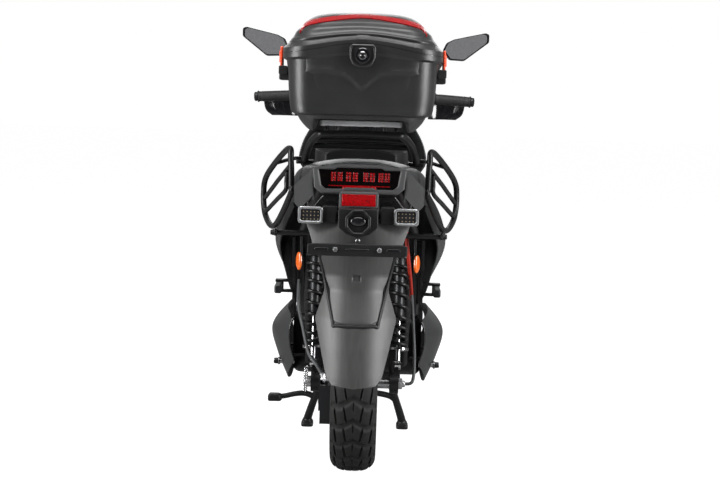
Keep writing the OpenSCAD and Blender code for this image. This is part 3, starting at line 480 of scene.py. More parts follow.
# Rims, discs and calipers. The rear rim is a cast disc round its hub motor, the front one has five spokes,
# both in dark satin paint; the discs are ground steel, and the calipers and axle fittings cast or turned
# metal.
def ground_steel(spot):
    """Turned marks round the wheel's axle: noise stretched along the circle through its finer radial step."""
    fine = spot.noise(160, 3, 0.7, (1, 6, 6))
    patch = spot.noise(25, 3, 0.5)
    return {"Base Color": patch.mix((0.38, 0.38, 0.39), (0.62, 0.62, 0.63)), "Roughness": fine * 0.3 + 0.16,
            "Normal": fine.bump(0.00005)}


steel = material("ground_steel", ground_steel, Metallic=1.0)
dark_alloy = material("dark_alloy", coated((0.006, 0.0065, 0.0075), (0.020, 0.021, 0.023), 0.38, 520,
                                           0.00022),
                      Metallic=0.3)
dress(dark_alloy, "rear_hub", "front_rim", "rear_caliper", "fork_crown", "fork_sliders")
dress(steel, "rear_disc", "front_disc", "rear_axle", "pedal_spindle")
wheel_z = axle[2] * 1000
caps = [turned([(s * 118.5, 12.5), (s * 120, 15.5), (s * 127, 15.5), (s * 128.5, 13.5)], (0, wheel_z), 6)
        for s in (-1, 1)]
caps += [turned([(s * 128, 9), (s * 134, 9), (s * 136, 7.5), (s * 137, 4)], (0, wheel_z), 24)
         for s in (-1, 1)]
make("axle_nuts", caps, steel, "rear_arm")
bolts = [turned([(-57.5, 5), (-55, 5), (-54, 4)], (d, wheel_z + z), 6)
         for d, z in [(-92, -14), (-92, -70), (-60, -84)]]
bolts += [turned([(-95.5, 7), (-90, 7)], (d, wheel_z + z), 6) for d, z in [(-70, -40), (-20, -48), (0, 12)]]
make("caliper_fittings", bolts, steel, "rear_arm")

# Swingarm. Two box arms joined by two cross tubes, welded and powder-coated. It pivots on the frame and keeps
# the shape that the frame file gives it.
dress(black_paint, "swingarm")

# Shock absorbers. Black coils over dark bodies with bright alloy collars and chromed rods and clevises.
def chromed(spot):
    """Chrome plate with faint polishing haze."""
    patch = spot.noise(60, 3, 0.6)
    return {"Base Color": patch.mix((0.62, 0.62, 0.63), (0.82, 0.82, 0.83)), "Roughness": patch * 0.14 + 0.06}


chrome = material("chrome_plate", chromed, Metallic=1.0)
spring_paint = material("spring_paint", coated((0.002, 0.002, 0.002), (0.006, 0.006, 0.0065), 0.40, 600,
                                               0.0001))
dress(dark_alloy, "damper_bodies")
dress(chrome, "damper_rods")
shock_top, shock_foot = np.array([100, 600.0]), np.array([20, wheel_z + 48.5])
shock_line = (shock_foot - shock_top) / np.linalg.norm(shock_foot - shock_top)
shock_length = np.linalg.norm(shock_foot - shock_top)


def coil(side, radius, wire, start, stop, turns):
    """A spring round the shock's own axis: at height h the wire's centre is radius from it at angle 2 pi
    turns h, with closed, flattened end turns."""
    t = np.linspace(0, 1, turns * 40 + 1)
    h = start + (stop - start) * (t + 0.035 * np.sin(2 * np.pi * t) * -1)
    a = 2 * np.pi * turns * t
    along = shock_top + h[:, None] * shock_line
    over = radius * np.sin(a)[:, None] * np.array([-shock_line[1], shock_line[0]])
    path = np.column_stack([side * 115 + radius * np.cos(a), along + over])
    return tube(path, wire, 12, up=(0, *shock_line))


springs = [coil(side, 22, 4.5, 42, shock_length - 51, 9) for side in (-1, 1)]
coils = make("shock_coils", springs, spring_paint, None, ["shock_springs"])
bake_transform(coils)


def collar(side, start, stop, radius, bore):
    """A turned collar round the shock's axis between two heights."""
    a = np.linspace(0, 2 * np.pi, 40, endpoint=False)
    levels = [(start, bore), (start, radius - 1), (start + 1, radius), (stop - 1, radius), (stop, radius - 1),
              (stop, bore)]
    rings = []
    for h, r in levels:
        along = shock_top + h * shock_line + r * np.sin(a)[:, None] * np.array([-shock_line[1],
                                                                                shock_line[0]])
        rings.append(np.column_stack([side * 115 + r * np.cos(a), along]))
    return ring(metres(rings))


make("shock_collars", [collar(s, 16, 27.5, 20, 15.2) for s in (-1, 1)], chrome, "dampers")

# Hoses and cables. A brake hose runs down behind the left shock to the caliper, the motor's dark cable down
# the right one into the hub, and an orange loom from under the tail to that cable; all keep their shape.
def sleeved(low, high):
    """Braided sleeve: a fine woven ripple and a little fading."""
    def surface(spot):
        weave, patch = spot.noise(900, 1, 0.5, (1, 1, 0.4)), spot.noise(40, 3, 0.5)
        return {"Base Color": patch.mix(low, high), "Roughness": weave * 0.3 + 0.38,
                "Normal": weave.bump(0.0002)}
    return surface


hose_rubber = material("hose_sleeve", sleeved((0.03, 0.032, 0.034), (0.09, 0.092, 0.095)))
orange_sleeve = material("orange_sleeve", sleeved((0.28, 0.012, 0.005), (0.45, 0.022, 0.008)))
hose_route = smoothed([[-160, 90, 500], [-158, 40, 440], [-142, 0, 380], [-124, -40, 320], [-100, -66, 290],
                       [-84, -76, 265], [-84, -76, wheel_z + 8.8]], 10)
motor_route = smoothed([[150, 120, 470], [156, 60, 380], [160, 20, 300], [156, 0, wheel_z + 8],
                        [134.8, 0, wheel_z]], 12)
make("brake_hose", [tube(hose_route, 5, 16, up=(1, 0, 0))], hose_rubber, "rear_arm",
     ["cables"])
make("motor_cable", [tube(motor_route, 4.5, 16, up=(0, 1, 0))], hose_rubber, "rear_arm")
loom = smoothed([[126, 30, 668], [130, 26, 620], [138, 44, 560], [146, 90, 500], [151, 128, 452]], 12)
make("orange_loom", [tube(loom, 5, 16, up=(0, 1, 0))], orange_sleeve, "frame")
make("hose_fitting", [tube(hose_route[-14:-3], 6.5, 6, up=(1, 0, 0)),
                      tube(hose_route[-9:-5], 8, 6, up=(1, 0, 0))], chrome,
     "rear_arm")

# Centre stand. Bent tube legs with pressed feet, a brace between them and a kick arm with a pad, hung on the
# frame's cross pin; a chromed spring pulls it up.
legs = []
for side in (-1, 1):
    flip = np.array([side, 1, 1])
    legs.append(tube(smoothed([[100, 470, 172], [110, 490, 136], [122, 508, 96], [134, 528, 58],
                               [145, 546, 20]], 6) * flip,
                     np.interp(np.arange(25), [0, 14, 24], [11, 11, 12.5])))
    legs.append(tube(np.array([[145, 546, 24], [145, 546, 16], [145, 546, 11]]) * flip, [12.5, 15.5, 17],
                     up=(0, 1, 0)))
    legs.append(slab(sorted((side * 127, side * 163)), (520, 576), (0, 13), 11, 3, "xdz"))
    legs.append(slab(sorted((side * 129, side * 161)), (523, 573), (11, 18), 12, 3, "xdz"))
legs.append(tube(smoothed([[-124, 511, 90], [-104, 504, 106], [-60, 500, 115], [0, 499, 118], [60, 500, 115],
                           [104, 504, 106],
                           [124, 511, 90]], 6), 9))
legs.append(tube(smoothed([[-122, 508, 96], [-150, 503, 107], [-180, 499, 106], [-212, 497, 99],
                           [-240, 496, 95]], 6),
                 np.interp(np.arange(25), [0, 12, 24], [9.5, 8, 8])))
legs.append(turned([(-112, 8.6), (-112, 12), (-110, 14), (110, 14), (112, 12), (112, 8.6)], (470, 172), 40))
legs.append(plate(outline([(-264, 476), (-224, 479), (-220, 497), (-228, 515), (-262, 516)], 8), 84, 106, 6,
                  "xdz"))
make("stand_tubes", legs, black_paint, "stand", ["centre_stand"])
t = np.linspace(0, 1, 521)
turn = 2 * np.pi * 13 * t
run = np.array([[-148, 446, 198], [-153, 501, 110.5]])
spring_path = run[0] + (run[1] - run[0]) * t[:, None]
aside, over = np.array([1, 0, 0]), np.array([0, 0.847, 0.532])
spring_path = spring_path + 5.4 * (np.cos(turn)[:, None] * aside + np.sin(turn)[:, None] * over)
stand_coil = make("stand_coil", [tube(spring_path, 1.5, 10, up=tuple(run[1] - run[0]))], chrome, None,
                  ["stand_springs"])
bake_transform(stand_coil)

# Pegs and their brackets. Folding alloy pegs with ribbed rubber tops on flat steel brackets, and the bare
# ends of the pedal spindle with press-on caps.
dress(black_paint, "peg_brackets")
peg_z = (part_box("peg_left")[0].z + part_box("peg_left")[1].z) * 500


def upright(x, d, rows, sides=24, loop=False):
    """A turned part on an upright axis: each (z, radius) of its rows becomes the circle
    (x + radius cos, d + radius sin, z)."""
    a = np.linspace(0, 2 * np.pi, sides, endpoint=False)
    rings = metres([np.column_stack([x + r * np.cos(a), d + r * np.sin(a), np.full(sides, z)])
                    for z, r in rows])
    return ring(rings) if loop else solid(rings)


for side, name, body in ((-1, "peg_left", "left_peg"), (1, "peg_right", "right_peg")):
    bar = [slab(sorted((side * 213, side * 231)), (150, 246), (peg_z - 11, peg_z + 11), 5, 3, "xzd")]
    bar += [slab(sorted((side * 211.8, side * 232.2)), (d, d + 7), (peg_z - 12, peg_z + 12), 6, 1.2, "xzd")
            for d in range(158, 236, 13)]
    eye_rows = [(peg_z - 11, 4.1), (peg_z - 11, 10), (peg_z - 10, 11), (peg_z + 10, 11), (peg_z + 11, 10),
                (peg_z + 11, 4.1)]
    bar.append(upright(side * 222, 250, eye_rows, 40, loop=True))
    make(name + "_bar", bar, dark_alloy, body, [name])
stubs = [turned([(s * 236, 9), (s * 238, 12), (s * 242, 12), (s * 243, 9)], (620, 185), 40) for s in (-1, 1)]
stubs += [turned([(s * 243, 9.2), (s * 250, 9.2), (s * 254, 8.6), (s * 256, 6)], (620, 185), 32)
          for s in (-1, 1)]
make("spindle_caps", stubs, dark_alloy, "spindle")

# Floor board and leg shield. Injection-moulded black plastic with a leather-like grain, screwed to the floor
# rails and the frame's down tube; the board has rubber-like raised ribs.
black_plastic = material("black_moulding", coated((0.005, 0.005, 0.0055), (0.014, 0.014, 0.0145), 0.42, 1100,
                                                  0.00018),
                         Specular_IOR_Level=0.35)
dress(black_plastic, "seat_base")
board = [slab((-195, 195), (600, 925), (338, 347), 16, 2, "xdz")]
board += [slab((-150, 150), (d, d + 7), (345, 349.5), 3, 1, "xdz") for d in range(640, 900, 20)]
board += [slab(sorted((s * 32, s * 195)), (918, 952), (338, 346), 8, 2, "xdz") for s in (-1, 1)]
make("floor_mat", board, black_plastic, "frame", ["floor_board"])
across_share = np.array([-1, -0.72, -0.36, 0, 0.36, 0.72, 1])
shield_rows = np.array([[np.column_stack([w * across_share, d + bow * across_share ** 2, np.full(7, z)])]
                        for z, w, d, bow in [(348.4, 190, 905, 38), (430, 240, 900, 66), (526, 280, 903, 92),
                                             (620, 262, 915, 100), (720, 205, 932, 84), (800, 150, 950, 52),
                                             (846, 112, 962, 30)]])[:, 0]
make("leg_shield_panel", [skin(metres(net(shield_rows, 6, 6)), 3)], black_plastic, "frame",
     ["leg_shield"])

# Front fairing, headlight and screen. A graphite nose over the head tube with a clear-lensed lamp let into it
# and a smoked screen on two rubber-bushed screws.
graphite = material("graphite_moulding", coated((0.020, 0.0205, 0.0215), (0.042, 0.0425, 0.0435), 0.40, 1000,
                                                0.00016))


def nose_row(z, w, back, nose):
    """Half a bow in plan, mirrored: from its nose back to half-width w."""
    half = np.array([[0, nose], [0.42 * w, nose - 0.07 * (nose - back)],
                     [0.78 * w, nose - 0.3 * (nose - back)],
                     [0.97 * w, nose - 0.62 * (nose - back)], [w, back]])
    plan = np.vstack([half[:0:-1] * [-1, 1], half])
    return np.column_stack([plan, np.full(len(plan), z)])


nose_net = net(np.array([nose_row(735, 172, 1036, 1246), nose_row(790, 208, 975, 1262),
                         nose_row(850, 200, 985, 1240),
                         nose_row(905, 172, 1000, 1208), nose_row(940, 146, 1020, 1184)]), 8, 8)
middle = nose_net.shape[1] // 2
lamp_rows = (nose_net[:, middle, 2] > 775) & (nose_net[:, middle, 2] < 857)
lamp_cols = np.abs(nose_net[len(nose_net) // 2, :, 0]) < 85
first_row, last_row = np.flatnonzero(lamp_rows)[[0, -1]]
first_col, last_col = np.flatnonzero(lamp_cols)[[0, -1]]
nose = [nose_net[:first_row + 1], nose_net[last_row:], nose_net[first_row:last_row + 1, :first_col + 1],
        nose_net[first_row:last_row + 1, last_col:]]
make("nose_fairing", [skin(metres(P), 3) for P in nose], graphite, "frame",
     ["front_fairing"])


def polished(colour_low, colour_high, rough):
    """Polished plastic: a long, faint ripple from the mould and fine smudges in its gloss."""
    def surface(spot):
        ripple, smudge = spot.noise(35, 2, 0.4), spot.noise(90, 4, 0.6)
        return {"Base Color": smudge.mix(colour_low, colour_high), "Roughness": smudge * 0.12 + rough,
                "Normal": ripple.bump(0.0002)}
    return surface


gloss_black = material("gloss_black", polished((0.004, 0.004, 0.005), (0.012, 0.012, 0.013), 0.06),
                       Coat_Weight=0.4)
clear = material("clear_lens", polished((0.86, 0.88, 0.90), (0.97, 0.98, 0.98), 0.02),
                 Transmission_Weight=0.85, IOR=1.45)
screen_tint = material("smoked_screen", polished((0.10, 0.105, 0.11), (0.14, 0.145, 0.15), 0.02),
                       Transmission_Weight=0.8,
                       IOR=1.45)
reflector_silver = material("lamp_reflector", polished((0.7, 0.7, 0.71), (0.85, 0.85, 0.86), 0.08),
                            Metallic=1.0)


def cross_rings(rows, steps=10):
    """Rounded rectangles standing across the scooter: each row is depth, half-width, bottom, top and
    corner."""
    return np.array([np.column_stack([o[:, 0], np.full(len(o), d), o[:, 1]])
                     for d, w, z0, z1, r in rows
                     for o in [outline([(-w, z0), (w, z0), (w, z1), (-w, z1)], r, steps)]])


lamp_shell = cross_rings([(1190, 84, 776, 856, 14), (1236, 84, 776, 856, 14), (1240, 82, 778, 854, 14),
                          (1240, 76, 784, 848, 12),
                          (1228, 70, 790, 842, 12)])
lamp_glass = cross_rings([(1239, 80, 780, 852, 14), (1256, 78, 782, 850, 14), (1262, 70, 788, 844, 13),
                          (1266, 60, 796, 838, 12)])


def knob(x, d, z, rows, sides=32, loop=False):
    """A turned part whose axis runs fore and aft: rows are depth and radius."""
    a = np.linspace(0, 2 * np.pi, sides, endpoint=False)
    rings = metres([np.column_stack([x + r * np.cos(a), np.full(sides, d + y), z + r * np.sin(a)])
                    for y, r in rows])
    return ring(rings) if loop else solid(rings)


bowl_rows = [(1229, 29), (1237, 28), (1236, 26), (1231, 20), (1229, 11), (1229.5, 4)]
bowls = [knob(s * 38, 0, 816, bowl_rows, 48) for s in (-1, 1)]
make("headlight_shell", [solid(metres(lamp_shell))] + bowls, [gloss_black, reflector_silver], "frame",
     ["headlight"], parts_finish=[0, 1, 1])
make("headlight_glass", [solid(metres(lamp_glass))], clear, "frame")
screen_share = np.array([-1, -0.5, 0, 0.5, 1])
screen_rows = np.array([np.column_stack([w * screen_share, d - 22 * screen_share ** 2, np.full(5, z)])
                        for z, w, d in [(906, 118, 1222), (990, 128, 1190), (1085, 130, 1155),
                                        (1180, 118, 1120),
                                        (1256, 78, 1092)]])
make("screen_sheet", [skin(metres(net(screen_rows, 8, 8)), 4)], screen_tint, "frame",
     ["windscreen"])
screw_rows = [(1191, 8), (1213, 8), (1215, 9.5), (1218, 9), (1219.5, 6)]
screws = [knob(s * 58, 0, 925, screw_rows) for s in (-1, 1)]
make("screen_screws", screws, black_plastic, "frame")

# Side covers and belly panels. Graphite mouldings either side of the seat and below the floor; each belly
# panel has a rolled, glossy inner edge.
cover_net = np.array([[[180, 64, 700], [182, 64, 735], [176, 64, 770], [160, 64, 792]],
                      [[222, 200, 592], [216, 200, 650], [190, 200, 715], [158, 200, 780]],
                      [[214, 350, 500], [208, 350, 575], [186, 350, 640], [152, 350, 690]],
                      [[194, 500, 405], [190, 500, 510], [168, 500, 610], [138, 500, 688]],
                      [[150, 620, 352.6], [146, 620, 470], [130, 620, 590], [104, 620, 686]],
                      [[80, 668, 350.6], [78, 668, 460], [68, 668, 570], [54, 668, 650]],
                      [[0.4, 680, 350.6], [0.4, 680, 450], [0.4, 682, 555], [0.4, 684, 640]]], float)
cover = net(cover_net, 8, 10)
cover_panel = skin(metres(cover), 3)
dark_graphite = material("dark_graphite", coated((0.009, 0.009, 0.0095), (0.022, 0.022, 0.023), 0.36, 1000,
                                                 0.00014))
make("side_cover_panels", [cover_panel, flipped(cover_panel)], dark_graphite, "frame",
     ["side_covers"])
belly_net = np.array([[[196, 520, 334], [206, 520, 300], [204, 520, 250], [190, 520, 205]],
                      [[214, 600, 352], [252, 600, 296], [240, 600, 222], [212, 600, 148]],
                      [[218, 720, 352], [268, 720, 286], [248, 720, 202], [208, 720, 120]],
                      [[216, 850, 348], [256, 850, 290], [238, 850, 218], [200, 850, 148]],
                      [[206, 980, 330], [222, 980, 285], [216, 980, 240], [196, 980, 195]]], float)
belly = net(belly_net, 10, 10)
belly_panel = skin(metres(belly), -3)
edge_line = belly[0]
rolled = tube(edge_line + [-2, 0, 0], 3.2, 12, up=(0, 1, 0))
make("belly_shells", [belly_panel, flipped(belly_panel)], graphite, "frame",
     ["belly_panels"])
make("belly_edges", [rolled, flipped(rolled)], gloss_black, "frame")

# Under-tray. A black tub under the floor that closes the belly between its two side panels round the battery,
# and a bowed black wall above it, ahead of the rear wheel.
tray_rings = cross_rings([(566, 96, 214, 330, 24), (572, 128, 196, 333, 26), (600, 186, 166, 336, 28),
                          (680, 200, 142, 337, 30),
                        (800, 196, 140, 337, 30), (890, 180, 158, 336, 28), (940, 150, 190, 334, 26),
                          (952, 110, 214, 330, 20)])
make("under_tray", [solid(metres(smoothed(tray_rings, 5)))], black_plastic, "frame")
inner_wall = net(np.array([[[x, d, z]
                            for x, d in [(-178, 545), (-120, 560), (0, 566), (120, 560), (178, 545)]]
                           for z in (345, 400, 460, 520)], float), 4, 6)
make("inner_bulkhead", [skin(metres(inner_wall), 3)], black_plastic, "frame")

# Tail fairing. A graphite moulding that closes the tail round the lamp: a rounded top, flat painted flanks, a
# bright chamfered frame round the tail light and two gloss black panels below it.
tail_rows = [(-252, [(0, 838), (62, 836), (108, 826), (118, 792), (112, 744)]),
             (-180, [(0, 843), (72, 840), (130, 824), (142, 786), (136, 736)]),
             (-100, [(0, 844), (76, 840), (146, 820), (165, 780), (160, 728)]),
             (-20, [(0, 836), (86, 830), (158, 812), (178, 770), (176, 722)]),
             (54, [(0, 826), (92, 822), (164, 804), (184, 764), (184, 716)])]
tail_net = np.array([[(-x, d, z) for x, z in half[:0:-1]] + [(x, d, z) for x, z in half]
                     for d, half in tail_rows], float)
make("tail_cowl", [skin(metres(net(tail_net, 8, 8)), -3)], graphite, "frame",
     ["tail_fairing"])

satin_grey = material("satin_grey", coated((0.060, 0.061, 0.063), (0.100, 0.101, 0.103), 0.32, 800, 0.00012))


def frame_ring(outer, inner, d_back, d_front, edge=1.2):
    """A flat frame between two outlines of equal count: its four corners in section, carried round both
    outlines."""
    levels = [(outer, d_back + edge), (inset(outer, edge), d_back), (inset(inner, -edge), d_back),
              (inner, d_back + edge),
              (inner, d_front), (outer, d_front)]
    return ring(metres([np.column_stack([o[:, 0], np.full(len(o), d), o[:, 1]]) for o, d in levels]))


def both_sides(half):
    """An outline from its right half, listed from the top middle round to the bottom middle."""
    half = np.array(half, float)
    return np.vstack([half, half[::-1] * [-1, 1]])


lamp_mouth = outline(both_sides([(55, 827), (64, 822), (103, 822), (96, 783), (86, 774), (42, 774),
                                 (36, 779)]), 3, 5)
tail_rim = outline(both_sides([(50, 836), (70, 834), (118, 826), (113, 776), (96, 762), (46, 762),
                               (38, 768)]), 3, 5)
make("tail_light_frame", [frame_ring(tail_rim, lamp_mouth, -264, -246, 3)], satin_grey, "frame")
flank = [plate(outline([(s * 112, 822), (s * 124, 818), (s * 168, 775), (s * 166, 730), (s * 150, 716),
                        (s * 112, 758)], 4),
               -250, -244, 2) for s in (-1, 1)]
for p in flank:
    p[0][:, 1] += np.maximum(np.abs(p[0][:, 0]) - 0.112, 0) * 1.25
make("tail_flanks", flank, graphite, "frame")
gloss_half = [plate(outline([(s * 50, 757), (s * 92, 757), (s * 124, 716), (s * 52, 716)], 5), -258, -250, 2)
              for s in (-1, 1)]
for p in gloss_half:
    p[0][:, 1] += np.maximum(np.abs(p[0][:, 0]) - 0.09, 0) * 0.5
make("tail_gloss_panels", gloss_half, gloss_black, "frame")

# Tail light. A smoked tray in the grey frame carries eight clusters of red diodes, with a thin red line below
# them.
smoked_red = material("smoked_lens", polished((0.002, 0.001, 0.001), (0.005, 0.003, 0.003), 0.08),
                      Coat_Weight=0.15)


def red_cells_lamp_and_painted_glow(spot):
    """Red lens plastic: a prism pattern of small cells pressed behind a smooth face, glowing faintly in the
    same cells: a lamp's glow on the tail light, painted glow on the reflector and strips, which are no lamps.
    """
    cells = spot.node("TexVoronoi", {"feature": "F1", "distance": "CHEBYCHEV"},
                      {"Vector": spot, "Scale": 260.0})
    return {"Base Color": cells.mix((0.42, 0.002, 0.004), (0.07, 0.0, 0.001)),
            "Roughness": cells * 0.2 + 0.12,
            "Normal": cells.bump(0.0006), "Emission Color": cells.mix((0.55, 0.0, 0.004), (0.12, 0.0, 0.001))}


# The emission colour and strength make this lens glow faintly: a lamp's glow on the tail diodes, painted glow
# on the rear reflector, its strip and the lid's strip.
red_lens = material("red_lens", red_cells_lamp_and_painted_glow, Emission_Strength=0.12, Coat_Weight=0.5)
tray = plate(inset(lamp_mouth, 0.5), -249, -240, 1)
make("tail_light_tray", [tray], smoked_red, "frame", ["tail_light"])
diodes = []
for x in (-69, -52.5, -31, -14, 12, 28.5, 50, 66):
    for column in range(2):
        for row in range(4):
            u, v = x + 7 * column, 813 - 6 * row
            diodes.append(slab((u - 2.6, u + 2.6), (-252.5, -248), (v - 2.4, v + 2.4), 1.0, 0.8))
make("tail_diodes", diodes + [slab((-78, 78), (-251, -248), (780, 782.5), 1, 0.6)], red_lens, "frame")

# Rear mudguard. One long graphite moulding from the lamp to behind the tyre: a narrow raised panel in a
# stepped border above, a faceted six-sided flare below, and a small plain recess in the panel.
mud_share = np.array([-1, -0.66, -0.33, 0, 0.33, 0.66, 1])
mud_rows = [(686, 119, -290, 26), (640, 104, -310, 24), (600, 93, -304, 30), (560, 85, -296, 34),
            (520, 78, -302, 38),
            (450, 100, -334, 54), (380, 84, -354, 42), (310, 67, -368, 28), (293, 52, -370, 16)]
mud_z = np.array([r[0] for r in mud_rows], float)
z_fine = np.linspace(686, 293, 260)
u_fine = np.linspace(-1, 1, 150)


def along(values):
    """A value of the mudguard's rows at each fine height, piecewise linear with its corners eased over 12
    mm."""
    v = np.interp(-z_fine, -mud_z, values)
    k = np.ones(9) / 9
    return np.convolve(np.pad(v, 4, mode="edge"), k, "valid")


mud_w, mud_d, mud_bow = (along([r[i] for r in mud_rows]) for i in (1, 2, 3))
mud = np.stack(np.broadcast_arrays(mud_w[:, None] * u_fine, mud_d[:, None] + mud_bow[:, None] * u_fine ** 2,
                                   z_fine[:, None]), -1)
inner_w = np.interp(mud[..., 2], [437, 445, 600, 612], [49, 55, 92, 92])
panel_side = np.clip((inner_w - np.abs(mud[..., 0])) / 3.0, 0, 1)
foot = 441 + 14 * np.clip(np.abs(mud[..., 0]) / 49 - 0.72, 0, 1)
panel_mask = panel_side * np.clip((mud[..., 2] - foot) / 3, 0, 1)
groove = np.clip(1 - np.abs(inner_w - 3 - np.abs(mud[..., 0])) / 2.2, 0, 1) * (mud[..., 2] > foot)
foot_groove = np.clip(1 - np.abs(mud[..., 2] - foot - 2) / 2.2, 0, 1) * (np.abs(mud[..., 0]) < inner_w)
groove = np.maximum(groove, foot_groove)
recess = np.clip(12 - np.abs(mud[..., 0]), 0, 1) * np.clip(9.5 - np.abs(mud[..., 2] - 554), 0, 1)
mud[..., 1] += -3.2 * panel_mask + 2.8 * groove + 4.0 * recess
mud[..., 2] -= (mud[..., 2] < 330) * (330 - mud[..., 2]) / 37 * (1 - np.abs(u_fine)) * 6


def mudguard_surface(spot):
    """Graphite plastic, brushed by road dust: darker in fine streaks that run down it."""
    streak, fine = spot.noise(60, 4, 0.6, (3, 1, 0.25)), spot.noise(1000, 2, 0.6)
    tone = streak * 0.7 + fine * 0.3
    return {"Base Color": tone.mix((0.028, 0.028, 0.028), (0.070, 0.069, 0.068)),
            "Roughness": tone * 0.2 + 0.32,
            "Normal": fine.bump(0.00015)}


mudguard_plastic = material("mudguard_moulding", mudguard_surface)
stem = [slab((-30, 30), (-290, -212), (674, 684), 4, 1, "xdz"),
        slab((-30, 30), (-222, -190), (674, 757.7), 4, 1, "xdz")]
make("mudguard_shell", [skin(metres(mud), -3)] + stem, mudguard_plastic, "frame",
     ["rear_mudguard"])
border = smoothed([[-94, 622], [-91, 600], [-56, 448], [-47, 438], [47, 438], [56, 448], [91, 600],
                   [94, 622]], 3)
edge_w, edge_d, edge_bow = (np.interp(-border[:, 1], -z_fine, v) for v in (mud_w, mud_d, mud_bow))
border = np.column_stack([border[:, 0], edge_d + edge_bow * (border[:, 0] / edge_w) ** 2 - 2.0, border[:, 1]])
make("mudguard_border", [tube(border, 5.4, 14, up=(0, 1, 0))], black_plastic, "frame")
apron = net(np.array([[[x, d, z] for x in w * mud_share] for z, w, d in
                      [(700, 127, -296), (688, 129, -300), (660, 119, -312), (634, 110, -320)]], float), 8, 6)
apron[..., 1] += (apron[..., 0] / 129) ** 2 * 34
make("mudguard_apron", [skin(metres(apron), -3)], mudguard_plastic, "frame")

# Number-plate bracket. A black moulded bar with two horizontal slots and two bolts, on a short stalk.
bar = outline([(-123, 617), (-112, 614), (112, 614), (123, 617), (123, 641), (110, 644), (-110, 644),
               (-123, 641)], 3)
bracket = [plate(bar, -352, -342, 2), slab((-20, 20), (-342, -312), (622, 638), 3, 1)]
make("plate_bar", bracket, black_plastic, "frame", ["plate_bracket"])
slots = [slab(sorted((s * 72, s * 106)), (-353.2, -350), (626, 634), 3.5, 1) for s in (-1, 1)]
slots += [slab((-30, 30), (-353.2, -350), (627.5, 632.5), 2.4, 1)]
make("plate_slots", slots, gloss_black, "frame")
plate_bolts = [knob(s * 54.5, -352, 630, [(0, 6.5), (-1.5, 6.5), (-2, 6), (-2, 5), (-4.5, 5), (-5, 4)], 6)
               for s in (-1, 1)]
plate_bolts += [knob(0, -316, 650, [(0, 6), (-7, 6), (-9, 4)])]
make("plate_bolts", plate_bolts, steel, "frame")

# Plate lamp. A square black housing pointed below, with an eight-sided ring and a domed lens, between two
# dark pockets under the reflector.
housing = outline([(-49, 730), (49, 730), (49, 684), (30, 668), (0, 658), (-30, 668), (-49, 684)], 5)
octagon = np.array([(np.cos(a), np.sin(a)) for a in np.radians(np.arange(22.5, 360, 45))])
lamp_parts = [plate(housing, -340, -314, 2), slab((-24, 24), (-315, -224), (704, 722), 3, 1),
              frame_ring(outline(octagon * 34 + [0, 697], 3), outline(octagon * 27 + [0, 697], 3), -347, -338,
                         2)]
make("plate_lamp_body", lamp_parts, black_plastic, "frame", ["plate_lamp"])
dome = [(0, 0.3), (-2, 1.0), (-5, 0.93), (-7.5, 0.72), (-8.8, 0.4)]
a = np.linspace(0, 2 * np.pi, 48, endpoint=False)
lens_rings = [np.column_stack([21 * r * np.cos(a), np.full(48, -338.0 + d), 699 + 13 * r * np.sin(a)])
              for d, r in dome]
make("plate_lamp_dome", [solid(metres(lens_rings))], gloss_black, "frame")
pockets = [slab(sorted((s * 54, s * 90)), (-306, -262), (690, 734), 6, 3) for s in (-1, 1)]
make("lamp_pockets", pockets, black_plastic, "frame")

# Reflectors. A red one in a grey holder above the plate lamp, a thin red strip over it, and an amber oval on
# a black bracket at each side; the red ones take a faint painted glow.
def amber_glass(spot):
    """Amber lens plastic with the same pressed cells as a reflector."""
    cells = spot.node("TexVoronoi", {"feature": "F1", "distance": "CHEBYCHEV"},
                      {"Vector": spot, "Scale": 240.0})
    return {"Base Color": cells.mix((0.90, 0.17, 0.01), (0.55, 0.07, 0.0)), "Roughness": cells * 0.2 + 0.15,
            "Normal": cells.bump(0.0005)}


amber_lens = material("amber_lens", amber_glass, Coat_Weight=0.5)
holder = outline([(-46, 770), (46, 770), (49, 764), (47, 731), (-47, 731), (-49, 764)], 4)
opening = outline([(-42, 764), (42, 764), (42.1, 763), (42, 735), (-42, 735), (-42.1, 763)], 0.4)
make("reflector_holder", [frame_ring(holder, opening, -311, -300, 1.5),
                          slab((-46, 46), (-301, -260), (731, 770), 3, 1)],
     satin_grey, "frame", ["reflectors"])
strip = outline([(-41, 782), (41, 782), (44, 770), (-44, 770)], 1.5)
# The red reflector and its strip glow faintly in the red lens's emission: painted glow, not a lamp.
make("rear_reflector", [slab((-42, 42), (-312, -299), (735, 764), 2, 1), plate(strip, -262, -256, 1.5)],
     red_lens, "frame")
c, n = math.cos(math.radians(35)), math.sin(math.radians(35))
rings = np.array([np.column_stack([156 + h * c + 12 * r * n * np.cos(a), 4 - h * n + 12 * r * c * np.cos(a),
                                   562 + 24 * r * np.sin(a)])
                  for h, r in [(0, 0.9), (1, 1), (4, 1), (6, 0.86), (7, 0.5)]])
sides = [solid(metres(rings * [s, 1, 1])) for s in (-1, 1)]
make("side_reflectors", sides, amber_lens, "frame")
make("reflector_brackets", [slab(sorted((s * 150, s * 156)), (0, 16), (544, 629.7), 4, 1, "dzx")
                            for s in (-1, 1)],
     black_plastic, "frame")

